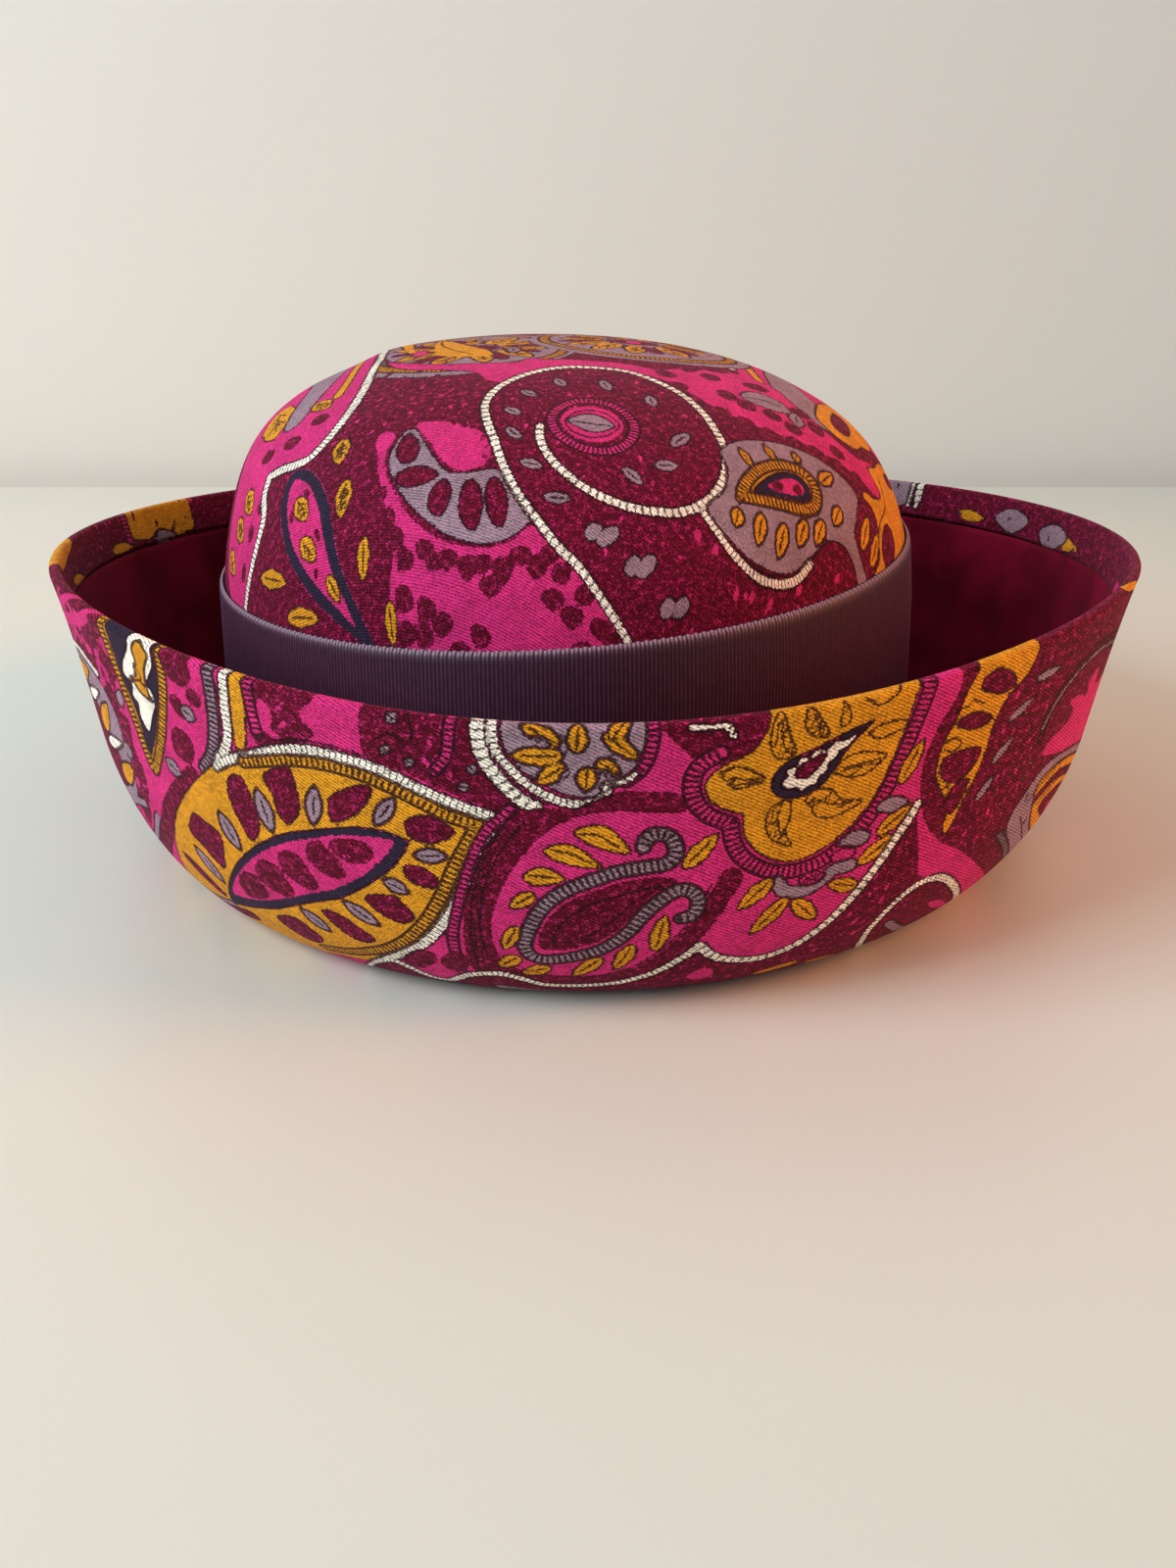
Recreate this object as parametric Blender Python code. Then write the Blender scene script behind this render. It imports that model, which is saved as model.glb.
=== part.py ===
"""A dressy cloth hat: a domed oval crown, a brim turned up into a deep bowl, its lining and a ribbon band.

Metres, +Z up. The front is at -Y and the hat rests on z = 0. The origin lies on the table under the
rim's centre, so the crown stands a little to the left of it and in front of it.
Angles run round the hat from its right end (+X) by way of the back (+Y).
"""

import bmesh
import bpy
import numpy as np

# Crown: an oval wall that rounds over into a flattish dome
CROWN_HALF_WIDTH = 0.0850
CROWN_HALF_LENGTH = 0.0990
CROWN_HEIGHT = 0.1174
WALL_HEIGHT = 0.0547
CROWN_THICK = 0.0020
CROWN_LEAN = -0.0030
SHOULDER_DROP = -0.0014
DOME_ROUND_UP = 2.72
DOME_ROUND_OUT = 2.60

# Brim: a collar inside the crown, a roll down to the table, a bowl and a flaring wall up to the rim
RIM_HALF_WIDTH = 0.1329
RIM_HALF_LENGTH = 0.1392
RIM_HEIGHT = 0.0658
RIM_SHIFT_RIGHT = 0.0068
RIM_SHIFT_BACK = 0.0047
FOOT_SHIFT_RIGHT = 0.0034
FOOT_SHIFT_BACK = 0.0023
FOOT_REACH = 0.0105
REST_WIDTH = 0.0030
ROLL_HEIGHT = 0.0070
COLLAR_HEIGHT = 0.0220
BOWL_WIDTH = 0.0216
BOWL_HEIGHT = 0.0343
BOWL_RIGHT_EXTRA = 0.0030
LIP_FLARE = 0.0012
BRIM_THICK = 0.0014
HEM_DEPTH = 0.0090

# Lining of the bowl and ribbon round the crown
LINING_THICK = 0.0010
LINING_SETBACK = 0.0005
RIBBON_THICK = 0.0010
RIBBON_TOP = 0.0691
RIBBON_TILT = 0.0051
RIBBON_FOOT = 0.0056
GAP = 0.0003

# The rim rises and dips: waves round it, height as a share of RIM_HEIGHT, bearing of one crest in degrees
RIM_WAVES = (
    (1, 0.058, 276.0),
    (2, 0.054, 0.0),
    (3, 0.019, 87.0),
    (4, 0.009, 45.0),
)

# Soft dents and swells of the dome: bearing in degrees, share of the way from wall to top, spread round
# in degrees, spread up as a share of that way, swell as a share of CROWN_HALF_WIDTH
DOME_DENTS = (
    (180.0, 0.19, 40.0, 0.09, -0.009),
    (185.0, 0.38, 32.0, 0.08, 0.005),
    (185.0, 0.56, 32.0, 0.06, -0.008),
    (185.0, 0.67, 32.0, 0.06, 0.010),
    (0.0, 0.07, 40.0, 0.06, -0.004),
    (0.0, 0.36, 32.0, 0.10, 0.008),
)

# Facets: round the hat, and up each stretch of a section
ROUND = 56
WALL_ROWS = 5
DOME_ROWS = 11
BOWL_ROWS = 6
FLARE_ROWS = 4
RIBBON_ROWS = 5

ANGLES = np.arange(ROUND) * 2 * np.pi / ROUND


def oval(half_width, half_length, right=0.0, back=0.0):
    """Points round an oval in plan, (ROUND, 2), about the origin with the crown's centre put in its place."""
    x = half_width * np.cos(ANGLES) + right - RIM_SHIFT_RIGHT
    y = half_length * np.sin(ANGLES) + back - RIM_SHIFT_BACK
    return np.stack([x, y], axis=-1)


def at_height(plan, height):
    """A loop in space from its plan points and its height, one number or one for each point."""
    return np.column_stack([plan, np.broadcast_to(height, len(plan))])


def face_normals(loops):
    """Unit normals of a grid of loops, (rows, ROUND, 3): the turn from round the hat to up the rows."""
    round_way = np.roll(loops, -1, axis=1) - np.roll(loops, 1, axis=1)
    up_way = np.gradient(loops, axis=0)
    normals = np.cross(round_way, up_way)
    return normals / np.linalg.norm(normals, axis=-1, keepdims=True)


def dome_loop(share_out, share_up):
    """One loop of the dome: its size as a share of the wall's oval and its rise as a share of the dome's."""
    plan = oval(CROWN_HALF_WIDTH * share_out, CROWN_HALF_LENGTH * share_out)
    plan[:, 0] += CROWN_LEAN * share_up**2
    rise = (CROWN_HEIGHT - WALL_HEIGHT) * share_up + SHOULDER_DROP * np.cos(ANGLES) * share_out * share_up
    return at_height(plan, WALL_HEIGHT + rise)


def dome_swell(share):
    """How far the dome swells out or in, in metres, round the loop that lies a share of the way up it."""
    swell = np.zeros(ROUND)
    for bearing, place, spread_round, spread_up, height in DOME_DENTS:
        away = np.degrees(np.angle(np.exp(1j * (ANGLES - np.radians(bearing)))))
        swell += height * np.exp(-((away / spread_round) ** 2) - ((share - place) / spread_up) ** 2)
    return swell * CROWN_HALF_WIDTH


def dome_shares(rows):
    """Even steps from the dome's foot to its top, with the shares (out, up) of its superellipse there."""
    turn = np.linspace(0.0, np.pi / 2, 400)
    out = np.cos(turn) ** (2 / DOME_ROUND_OUT)
    up = np.sin(turn) ** (2 / DOME_ROUND_UP)
    step = np.hypot(np.diff(out) * CROWN_HALF_WIDTH, np.diff(up) * (CROWN_HEIGHT - WALL_HEIGHT))
    walk = np.concatenate([[0.0], np.cumsum(step)]) / step.sum()
    even = np.linspace(0.0, 1.0, rows + 1)
    return even, np.interp(even, walk, out), np.interp(even, walk, up)


def crown_face():
    """Loops of the crown's outer face, from its foot to the last loop under its top."""
    wall = oval(CROWN_HALF_WIDTH, CROWN_HALF_LENGTH)
    loops = [at_height(wall, z) for z in np.linspace(ROLL_HEIGHT, WALL_HEIGHT, WALL_ROWS + 1)[:-1]]
    even, out, up = dome_shares(DOME_ROWS)
    loops = np.array(loops + [dome_loop(*shares) for shares in zip(out[:-1], up[:-1])])
    swell = np.array([np.zeros(ROUND)] * WALL_ROWS + [dome_swell(share) for share in even[:-1]])
    return loops + face_normals(loops) * swell[:, :, None]


def rim_loop():
    """The rim's edge: an oval that rises at both ends and stands higher in front than at the back."""
    rise = sum(
        share * np.cos(waves * (ANGLES - np.radians(crest))) for waves, share, crest in RIM_WAVES
    )
    plan = oval(RIM_HALF_WIDTH, RIM_HALF_LENGTH, RIM_SHIFT_RIGHT, RIM_SHIFT_BACK)
    return at_height(plan, RIM_HEIGHT * (1 + rise))


def brim_face():
    """Loops of the brim's outer face, from the collar's top by way of the table to the rim, and the
    number of the loop where the lining starts."""
    inset = CROWN_THICK + GAP + BRIM_THICK
    collar = oval(CROWN_HALF_WIDTH - inset, CROWN_HALF_LENGTH - inset)
    foot = oval(
        CROWN_HALF_WIDTH + FOOT_REACH,
        CROWN_HALF_LENGTH + FOOT_REACH,
        FOOT_SHIFT_RIGHT,
        FOOT_SHIFT_BACK,
    )
    rim = rim_loop()
    reach = rim[:, :2] - foot
    length = np.linalg.norm(reach, axis=1)
    outward = reach / length[:, None]
    roll = foot - outward * REST_WIDTH / 2 - collar
    roll_width = np.linalg.norm(roll, axis=1)
    to_lining = inset + GAP + RIBBON_THICK + LINING_SETBACK
    lining_turn = np.arccos(1 - to_lining / np.maximum(roll_width, to_lining))

    loops = [at_height(collar, COLLAR_HEIGHT), at_height(collar, (COLLAR_HEIGHT + ROLL_HEIGHT) / 2)]
    for turn in (0 * lining_turn, 0.5 * lining_turn, lining_turn, np.full(ROUND, np.pi / 2)):
        across = collar + roll * (1 - np.cos(turn))[:, None]
        loops.append(at_height(across, ROLL_HEIGHT * (1 - np.sin(turn))))
    lining_start = len(loops) - 2

    rise = rim[:, 2]
    lip = LIP_FLARE * (0.5 + 0.5 * np.cos(2 * ANGLES))
    bowl = BOWL_WIDTH + BOWL_RIGHT_EXTRA * np.cos(ANGLES)
    lean = (length - bowl - lip) / rise
    start = REST_WIDTH / 2
    for turn in np.linspace(0.0, np.pi / 2, BOWL_ROWS + 1):
        z = BOWL_HEIGHT * (1 - np.cos(turn))
        across = start + (bowl - start) * np.sin(turn) + lean * z
        loops.append(at_height(foot + outward * across[:, None], z))
    hem = 1 - HEM_DEPTH / (rise - BOWL_HEIGHT)
    shares = [hem * k / FLARE_ROWS for k in range(1, FLARE_ROWS + 1)] + [0.5 + 0.5 * hem, np.ones(ROUND)]
    for share in shares:
        z = BOWL_HEIGHT + (rise - BOWL_HEIGHT) * share
        across = bowl + lean * z + lip * share**3
        loops.append(at_height(foot + outward * across[:, None], z))
    return np.array(loops), lining_start


def skin(name, loops, look, ring):
    """A closed mesh through loops of points. A ring's last loop joins its first; else both ends get a top."""
    count = len(loops)
    points = [tuple(point) for loop in loops for point in loop]
    faces = []
    for row in range(count if ring else count - 1):
        here, there = row * ROUND, (row + 1) % count * ROUND
        for k in range(ROUND):
            after = (k + 1) % ROUND
            faces.append((here + k, here + after, there + after, there + k))
    if not ring:
        for row in (0, count - 1):
            points.append(tuple(loops[row].mean(axis=0)))
            top = len(points) - 1
            faces += [(row * ROUND + k, row * ROUND + (k + 1) % ROUND, top) for k in range(ROUND)]
    mesh = bpy.data.meshes.new(name)
    mesh.from_pydata(points, [], faces)
    shape = bmesh.new()
    shape.from_mesh(mesh)
    bmesh.ops.recalc_face_normals(shape, faces=shape.faces)
    shape.to_mesh(mesh)
    shape.free()
    mesh.shade_smooth()
    mesh.set_sharp_from_angle(angle=np.radians(50))
    mesh.materials.append(look)
    piece = bpy.data.objects.new(name, mesh)
    bpy.context.scene.collection.objects.link(piece)
    return piece


def cloth(name, colour, roughness):
    """A plain dull material in linear colour."""
    look = bpy.data.materials.new(name)
    look.use_nodes = True
    shader = look.node_tree.nodes["Principled BSDF"]
    shader.inputs["Base Color"].default_value = (*colour, 1.0)
    shader.inputs["Roughness"].default_value = roughness
    shader.inputs["Metallic"].default_value = 0.0
    return look


def make_crown(look):
    """The crown's shell: its outer face down from the top, then its inner face back up."""
    outer = crown_face()
    inner = outer - face_normals(outer) * CROWN_THICK
    inner[0, :, 2] = ROLL_HEIGHT
    return skin("crown", np.concatenate([outer[::-1], inner]), look, ring=False)


def make_brim(look):
    """The brim's shell, with its cloth folded over the rim and down inside as a hem."""
    face, _ = brim_face()
    normals = face_normals(face)
    hem_thick = BRIM_THICK + GAP + LINING_THICK
    body = face[:-2] - normals[:-2] * BRIM_THICK
    hem = face[-3:-1] - normals[-3:-1] * hem_thick
    edge = face[-1] - normals[-1] * hem_thick
    fold = face[-1] - normals[-1] * hem_thick / 2
    fold[:, 2] += hem_thick / 3
    outer = face.copy()
    outer[-1, :, 2] -= hem_thick / 3
    edge[:, 2] -= hem_thick / 3
    loops = [*outer, fold, edge, hem[1], hem[0], *body[::-1]]
    return skin("brim", np.array(loops), look, ring=True)


def make_lining(look):
    """The lining of the bowl: it follows the brim's inner face from the crown's foot to the hem."""
    face, start = brim_face()
    normals = face_normals(face)
    near = (face - normals * (BRIM_THICK + GAP))[start:-2]
    far = (face - normals * (BRIM_THICK + GAP + LINING_THICK))[start:-2]
    step = near[-1] - near[-2]
    pull_back = step / np.linalg.norm(step, axis=1, keepdims=True) * 2 * GAP
    near[-1] -= pull_back
    far[-1] -= pull_back
    return skin("brim_lining", np.concatenate([near, far[::-1]]), look, ring=True)


def make_ribbon(look):
    """The band round the crown's foot, its top edge higher at the right end of the hat."""
    face = crown_face()
    normals = face_normals(face)
    top = RIBBON_TOP + RIBBON_TILT * np.cos(ANGLES)
    levels = [np.full(ROUND, RIBBON_FOOT)]
    levels += [WALL_HEIGHT + (top - WALL_HEIGHT) * share for share in np.linspace(0, 1, RIBBON_ROWS)]
    near, far = [], []
    for level in levels:
        column = [level]
        for grid in (face, normals):
            for axis in range(3):
                found = [np.interp(level[k], face[:, k, 2], grid[:, k, axis]) for k in range(ROUND)]
                column.append(np.array(found))
        point = np.column_stack([column[1], column[2], level])
        normal = np.column_stack(column[4:])
        near.append(point + normal * GAP)
        far.append(point + normal * (GAP + RIBBON_THICK))
    return skin("ribbon", np.array(far + near[::-1]), look, ring=True)


def main():
    """Clears the scene and builds the four pieces."""
    for old in list(bpy.data.objects):
        bpy.data.objects.remove(old)
    print_pink = cloth("printed cloth", (0.46, 0.02, 0.14), 0.85)
    velvet = cloth("burgundy velvet", (0.05, 0.003, 0.012), 0.9)
    plum = cloth("plum grosgrain", (0.045, 0.012, 0.03), 0.7)
    make_crown(print_pink)
    make_brim(print_pink)
    make_lining(velvet)
    make_ribbon(plum)


main()
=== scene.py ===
# %% [markdown]
# # A dressy hat in printed wool
#
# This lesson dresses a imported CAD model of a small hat: a domed crown and a brim that is turned up all
# round into a bowl, both covered in a printed paisley cloth, a dark velvety lining inside the bowl and a
# ribbed ribbon round the crown. Everything is in metres, the front of the hat is at -Y, and the origin
# lies on the table under the rim's centre.

import math

import bpy
import numpy as np
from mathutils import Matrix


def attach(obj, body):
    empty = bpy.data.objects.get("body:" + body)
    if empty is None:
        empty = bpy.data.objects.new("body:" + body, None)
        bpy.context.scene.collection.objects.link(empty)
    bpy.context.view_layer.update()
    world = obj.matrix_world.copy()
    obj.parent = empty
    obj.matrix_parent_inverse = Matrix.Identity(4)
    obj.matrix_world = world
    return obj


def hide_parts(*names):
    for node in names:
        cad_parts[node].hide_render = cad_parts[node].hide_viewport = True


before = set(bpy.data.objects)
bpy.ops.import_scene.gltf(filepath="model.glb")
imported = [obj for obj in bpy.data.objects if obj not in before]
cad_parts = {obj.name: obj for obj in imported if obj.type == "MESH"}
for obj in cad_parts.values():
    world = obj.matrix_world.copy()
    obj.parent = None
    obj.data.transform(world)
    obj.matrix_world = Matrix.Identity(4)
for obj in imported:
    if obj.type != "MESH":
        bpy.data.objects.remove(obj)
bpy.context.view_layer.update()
print("nodes of the frame:", sorted(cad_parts))

# %% [markdown]
# ## The camera and the set
#
# The camera stands in front of the hat at a little over arm's height and looks down by 21 degrees. A
# lens is easier to trust when it is worked out from pixels: a focal length in pixels, divided by the
# long side of the picture and times the sensor's long side, gives millimetres.

# %% Camera
MM = 0.001
PICTURE_LONG_SIDE = 1600
FOCAL_PIXELS = 1700.0
CAMERA_PLACE = (-0.00156, -0.4208, 0.16278)
CAMERA_DOWN = math.radians(21.06)

camera_data = bpy.data.cameras.new("camera")
camera_data.sensor_width = 36.0
camera_data.lens = FOCAL_PIXELS / PICTURE_LONG_SIDE * camera_data.sensor_width
camera = bpy.data.objects.new("camera", camera_data)
camera.location = CAMERA_PLACE
camera.rotation_euler = (math.pi / 2 - CAMERA_DOWN, 0.0, 0.0)
bpy.context.scene.collection.objects.link(camera)
bpy.context.scene.camera = camera
print("lens:", round(camera_data.lens, 2), "mm")

# %% [markdown]
# ## Helpers for materials
#
# Colours are read off as sRGB hex values, which a shader can't use as they are, so one function turns
# them linear. Another adds a node with its settings and its links, so that a material reads like a
# recipe.


# %% Colours and nodes
def linear(hex_colour):
    """sRGB hex to linear RGBA. A share up to 0.04045 is divided by 12.92. A larger one has 0.055 added, is
    divided by 1.055 and raised to the power 2.4."""
    shares = np.array([int(hex_colour[k : k + 2], 16) / 255 for k in (1, 3, 5)])
    shares = np.where(shares <= 0.04045, shares / 12.92, ((shares + 0.055) / 1.055) ** 2.4)
    return (*shares.tolist(), 1.0)


def new_material(name):
    """A material without nodes. Returns the material and its node tree."""
    material = bpy.data.materials.new(name)
    material.use_nodes = True
    material.node_tree.nodes.clear()
    return material, material.node_tree


def add(tree, kind, inputs=(), **settings):
    """Adds a shader node of a kind. Settings are its properties. Inputs are a list in the order of its
    sockets, or a dict by name. Each is a value, a node, or a (node, output name)."""
    node = tree.nodes.new("ShaderNode" + kind)
    for key, value in settings.items():
        setattr(node, key, value)
    for key, value in inputs.items() if isinstance(inputs, dict) else enumerate(inputs):
        socket = node.inputs[key]
        if isinstance(value, bpy.types.Node):
            tree.links.new(next(output for output in value.outputs if output.enabled), socket)
        elif isinstance(value, tuple) and isinstance(value[0], bpy.types.Node):
            tree.links.new(value[0].outputs[value[1]], socket)
        else:
            socket.default_value = value
    return node


# A map range with these settings takes (value, from min, from max, to min, to max) and eases between
SMOOTH = {"interpolation_type": "SMOOTHSTEP"}
COLOURS = {"data_type": "RGBA"}
print("a grey of #808080 is", round(linear("#808080")[0], 3), "in linear light")

# %% [markdown]
# ## Floor, wall and light
#
# The hat stands on a pale lacquered table in front of a pale wall. The table ends in a soft edge behind
# the hat. The light is a big window at the left in front, a dim warm fill from the right, and a pale
# surround.

# %% Stage
TABLE_BACK = 0.420
TABLE_FRONT = -1.2
TABLE_ROUND, TABLE_THICK = 0.002, 0.05
WALL_BACK, WALL_FOOT, WALL_TOP = 0.440, -0.6, 1.8
STAGE_HALF_WIDTH = 3.0


def stage_surface(name, profile, material):
    """A strip that keeps one profile of (y, z) points from left to right."""
    points = [(side * STAGE_HALF_WIDTH, y, z) for y, z in profile for side in (-1, 1)]
    faces = [(2 * k, 2 * k + 1, 2 * k + 3, 2 * k + 2) for k in range(len(profile) - 1)]
    mesh = bpy.data.meshes.new(name)
    mesh.from_pydata(points, [], faces)
    mesh.materials.append(material)
    piece = bpy.data.objects.new(name, mesh)
    bpy.context.scene.collection.objects.link(piece)


# Lacquer has a soft sheen and stays a little cloudy under it
lacquer, tree = new_material("white lacquered table")
speck = add(tree, "TexNoise", {"Vector": (add(tree, "TexCoord"), "Object"), "Scale": 2.0})
tint = add(tree, "Mix", {"Factor": speck, "A": linear("#DFE4D9"), "B": linear("#DADFD3")}, **COLOURS)
shader = add(tree, "BsdfPrincipled", {"Base Color": tint, "Roughness": 0.38})
add(tree, "OutputMaterial", {"Surface": shader})

# Matt paint scatters light evenly and shows no sheen
wall_paint, tree = new_material("matt wall paint")
shader = add(tree, "BsdfPrincipled", {"Base Color": linear("#E6E5DA"), "Roughness": 0.9})
add(tree, "OutputMaterial", {"Surface": shader})

table_edge = [(TABLE_BACK + TABLE_ROUND, -TABLE_ROUND), (TABLE_BACK + TABLE_ROUND, -TABLE_THICK)]
stage_surface("table_top", [(TABLE_FRONT, 0.0), (TABLE_BACK, 0.0), *table_edge], lacquer)
stage_surface("wall", [(WALL_BACK, WALL_FOOT), (WALL_BACK, WALL_TOP)], wall_paint)
print("stage: table to y =", TABLE_BACK, "and wall at y =", WALL_BACK)


# %% Lights
def area_light(name, place, target, size, power, colour, spread=180.0):
    """A lamp at a place, turned to its target, with a narrower beam if its spread in degrees is less."""
    data = bpy.data.lights.new(name, "AREA")
    data.shape = "RECTANGLE"
    data.size, data.size_y = size
    data.energy = power
    data.color = linear(colour)[:3]
    data.spread = math.radians(spread)
    lamp = bpy.data.objects.new(name, data)
    away = np.array(place) - np.array(target)
    turn = math.atan2(away[0], -away[1])
    tilt = math.atan2(math.hypot(away[0], away[1]), away[2])
    lamp.location = place
    lamp.rotation_euler = (tilt, 0.0, turn)
    bpy.context.scene.collection.objects.link(lamp)


area_light("window", (-1.25, -0.7, 0.95), (0.0, 0.0, 0.05), (1.0, 1.0), 25.0, "#F3F6FF")
area_light("warm room", (1.0, -0.15, 0.55), (0.06, 0.0, 0.06), (0.6, 0.6), 1.1, "#FF9654", 50.0)
world = bpy.data.worlds.new("pale room")
world.use_nodes = True
background = world.node_tree.nodes["Background"]
background.inputs["Color"].default_value = linear("#E6EEF4")
background.inputs["Strength"].default_value = 0.39
bpy.context.scene.world = world
bpy.context.scene.view_settings.view_transform = "Standard"

# %% [markdown]
# ## Sizes of the hat
#
# The CAD model was made from these sizes, and the dense surfaces below repeat its formulas, so that
# cloth and CAD agree to a fraction of a millimetre.

# %% Sizes
CROWN_HALF_WIDTH, CROWN_HALF_LENGTH = 0.0850, 0.0990
CROWN_HEIGHT, WALL_HEIGHT = 0.1174, 0.0547
CROWN_LEAN, SHOULDER_DROP = -0.0030, -0.0014
DOME_ROUND_UP, DOME_ROUND_OUT = 2.72, 2.60
RIM_HALF_WIDTH, RIM_HALF_LENGTH, RIM_HEIGHT = 0.1329, 0.1392, 0.0658
RIM_SHIFT_RIGHT, RIM_SHIFT_BACK = 0.0068, 0.0047
FOOT_SHIFT_RIGHT, FOOT_SHIFT_BACK, FOOT_REACH = 0.0034, 0.0023, 0.0105
REST_WIDTH, ROLL_HEIGHT, COLLAR_HEIGHT = 0.0030, 0.0070, 0.0220
BOWL_WIDTH, BOWL_HEIGHT, BOWL_RIGHT_EXTRA, LIP_FLARE = 0.0216, 0.0343, 0.0030, 0.0012
CROWN_THICK, BRIM_THICK, LINING_THICK, RIBBON_THICK, GAP = 0.0020, 0.0014, 0.0010, 0.0010, 0.0003
HEM_DEPTH, LINING_SETBACK = 0.0090, 0.0005
RIBBON_TOP, RIBBON_TILT, RIBBON_FOOT = 0.0691, 0.0051, 0.0056
# Waves of the rim: (how many round it, share of its height, bearing of a crest)
RIM_WAVES = ((1, 0.058, 276.0), (2, 0.054, 0.0), (3, 0.019, 87.0), (4, 0.009, 45.0))
# Dents and swells of the dome: (bearing, share up the dome, spread round, spread up, height share)
DOME_DENTS = (
    (180.0, 0.19, 40.0, 0.09, -0.009),
    (185.0, 0.38, 32.0, 0.08, 0.005),
    (185.0, 0.56, 32.0, 0.06, -0.008),
    (185.0, 0.67, 32.0, 0.06, 0.010),
    (0.0, 0.07, 40.0, 0.06, -0.004),
    (0.0, 0.36, 32.0, 0.10, 0.008),
)

# %% [markdown]
# ## One way to make every surface
#
# Each piece of the hat is a grid of points: columns go round the hat and rows go up a section. The front
# of the hat is seen closest, so its columns are finer there than at the back. A grid becomes a mesh by
# joining each point to its neighbours, all as whole arrays.


# %% Grids
FRONT, BACK_DEGREES = 1.5 * math.pi, 90.0
PRINT_RADIUS_MM = 119.4
BRIM_STEPS_MM = (0.76, 1.55)


def columns(radius_mm, fine_mm, coarse_mm, fine_from=170.0, fine_to=370.0):
    """Bearings from the back round by the left and the front: fine steps in front, coarse ones behind.
    A step's angle is its length over the radius."""
    ends = np.radians([BACK_DEGREES, fine_from, fine_to, BACK_DEGREES + 360.0])
    steps = (coarse_mm, fine_mm, coarse_mm)
    parts = []
    for k, step in enumerate(steps):
        count = int(round((ends[k + 1] - ends[k]) * radius_mm / step))
        parts.append(np.linspace(ends[k], ends[k + 1], count, endpoint=False))
    return np.concatenate(parts)


def normals_of(grid):
    """Unit normals of a grid of loops: the cross product of its step round and its step up."""
    round_way = np.roll(grid, -1, axis=1) - np.roll(grid, 1, axis=1)
    up_way = np.gradient(grid, axis=0)
    normals = np.cross(round_way, up_way)
    return normals / np.maximum(np.linalg.norm(normals, axis=-1, keepdims=True), 1e-12)


def up_the_rows(grid):
    """How far each point lies along its column from the first row, in metres."""
    steps = np.linalg.norm(np.diff(grid, axis=0), axis=-1)
    return np.concatenate([np.zeros((1, grid.shape[1])), np.cumsum(steps, axis=0)])


def grid_faces(rows, count, ring):
    """Corner numbers of the quads of a grid that closes round its columns, and round its rows if ring."""
    row = np.arange(rows if ring else rows - 1)[:, None] * count
    after_row = (row + count) % (rows * count)
    col = np.arange(count)[None, :]
    after = (col + 1) % count
    return np.stack([row + col, row + after, after_row + after, after_row + col], axis=-1).reshape(-1, 4)


def make_mesh(name, points, quads, triangles=()):
    """A mesh from arrays: places of points, then the corners of its quads and triangles."""
    triangles = np.array(triangles, dtype=int).reshape(-1, 3)
    mesh = bpy.data.meshes.new(name)
    corners = np.concatenate([quads.ravel(), triangles.ravel()])
    sizes = np.concatenate([np.full(len(quads), 4), np.full(len(triangles), 3)])
    mesh.vertices.add(len(points))
    mesh.vertices.foreach_set("co", points.astype(np.float32).ravel())
    mesh.loops.add(len(corners))
    mesh.loops.foreach_set("vertex_index", corners.astype(np.int32))
    mesh.polygons.add(len(sizes))
    mesh.polygons.foreach_set("loop_start", np.concatenate([[0], np.cumsum(sizes)[:-1]]).astype(np.int32))
    mesh.polygons.foreach_set("use_smooth", np.ones(len(sizes), dtype=bool))
    mesh.update(calc_edges=True)
    mesh.validate()
    return mesh


def place_piece(mesh, node, body="root"):
    """An object that rides on the body and stands for the CAD node."""
    piece = bpy.data.objects.new(mesh.name, mesh)
    bpy.context.scene.collection.objects.link(piece)
    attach(piece, body)
    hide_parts(node)
    triangles = sum(len(polygon.vertices) - 2 for polygon in mesh.polygons)
    print(mesh.name, "has", triangles, "triangles")
    return piece


def store(mesh, name, values):
    """Keeps one number for each point of the mesh under a name that materials can read."""
    attribute = mesh.attributes.new(name, "FLOAT", "POINT")
    attribute.data.foreach_set("value", np.asarray(values, dtype=np.float32).ravel())


def oval(bearings, half_width, half_length, right=0.0, back=0.0):
    """Points round an oval in plan: half width times cosine, half length times sine."""
    x = half_width * np.cos(bearings) + right - RIM_SHIFT_RIGHT
    y = half_length * np.sin(bearings) + back - RIM_SHIFT_BACK
    return np.stack([x, y], axis=-1)


print("columns round the brim:", len(columns(PRINT_RADIUS_MM, *BRIM_STEPS_MM)))

# %% [markdown]
# ## The shape of the crown
#
# The real crown is cloth stretched over a stiff buckram form: an oval wall that rounds into a flattish
# dome. A superellipse gives that rounding with two numbers. Soft dents and swells are added along the
# normals as bell curves, because cloth over buckram is never quite fair.


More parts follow.
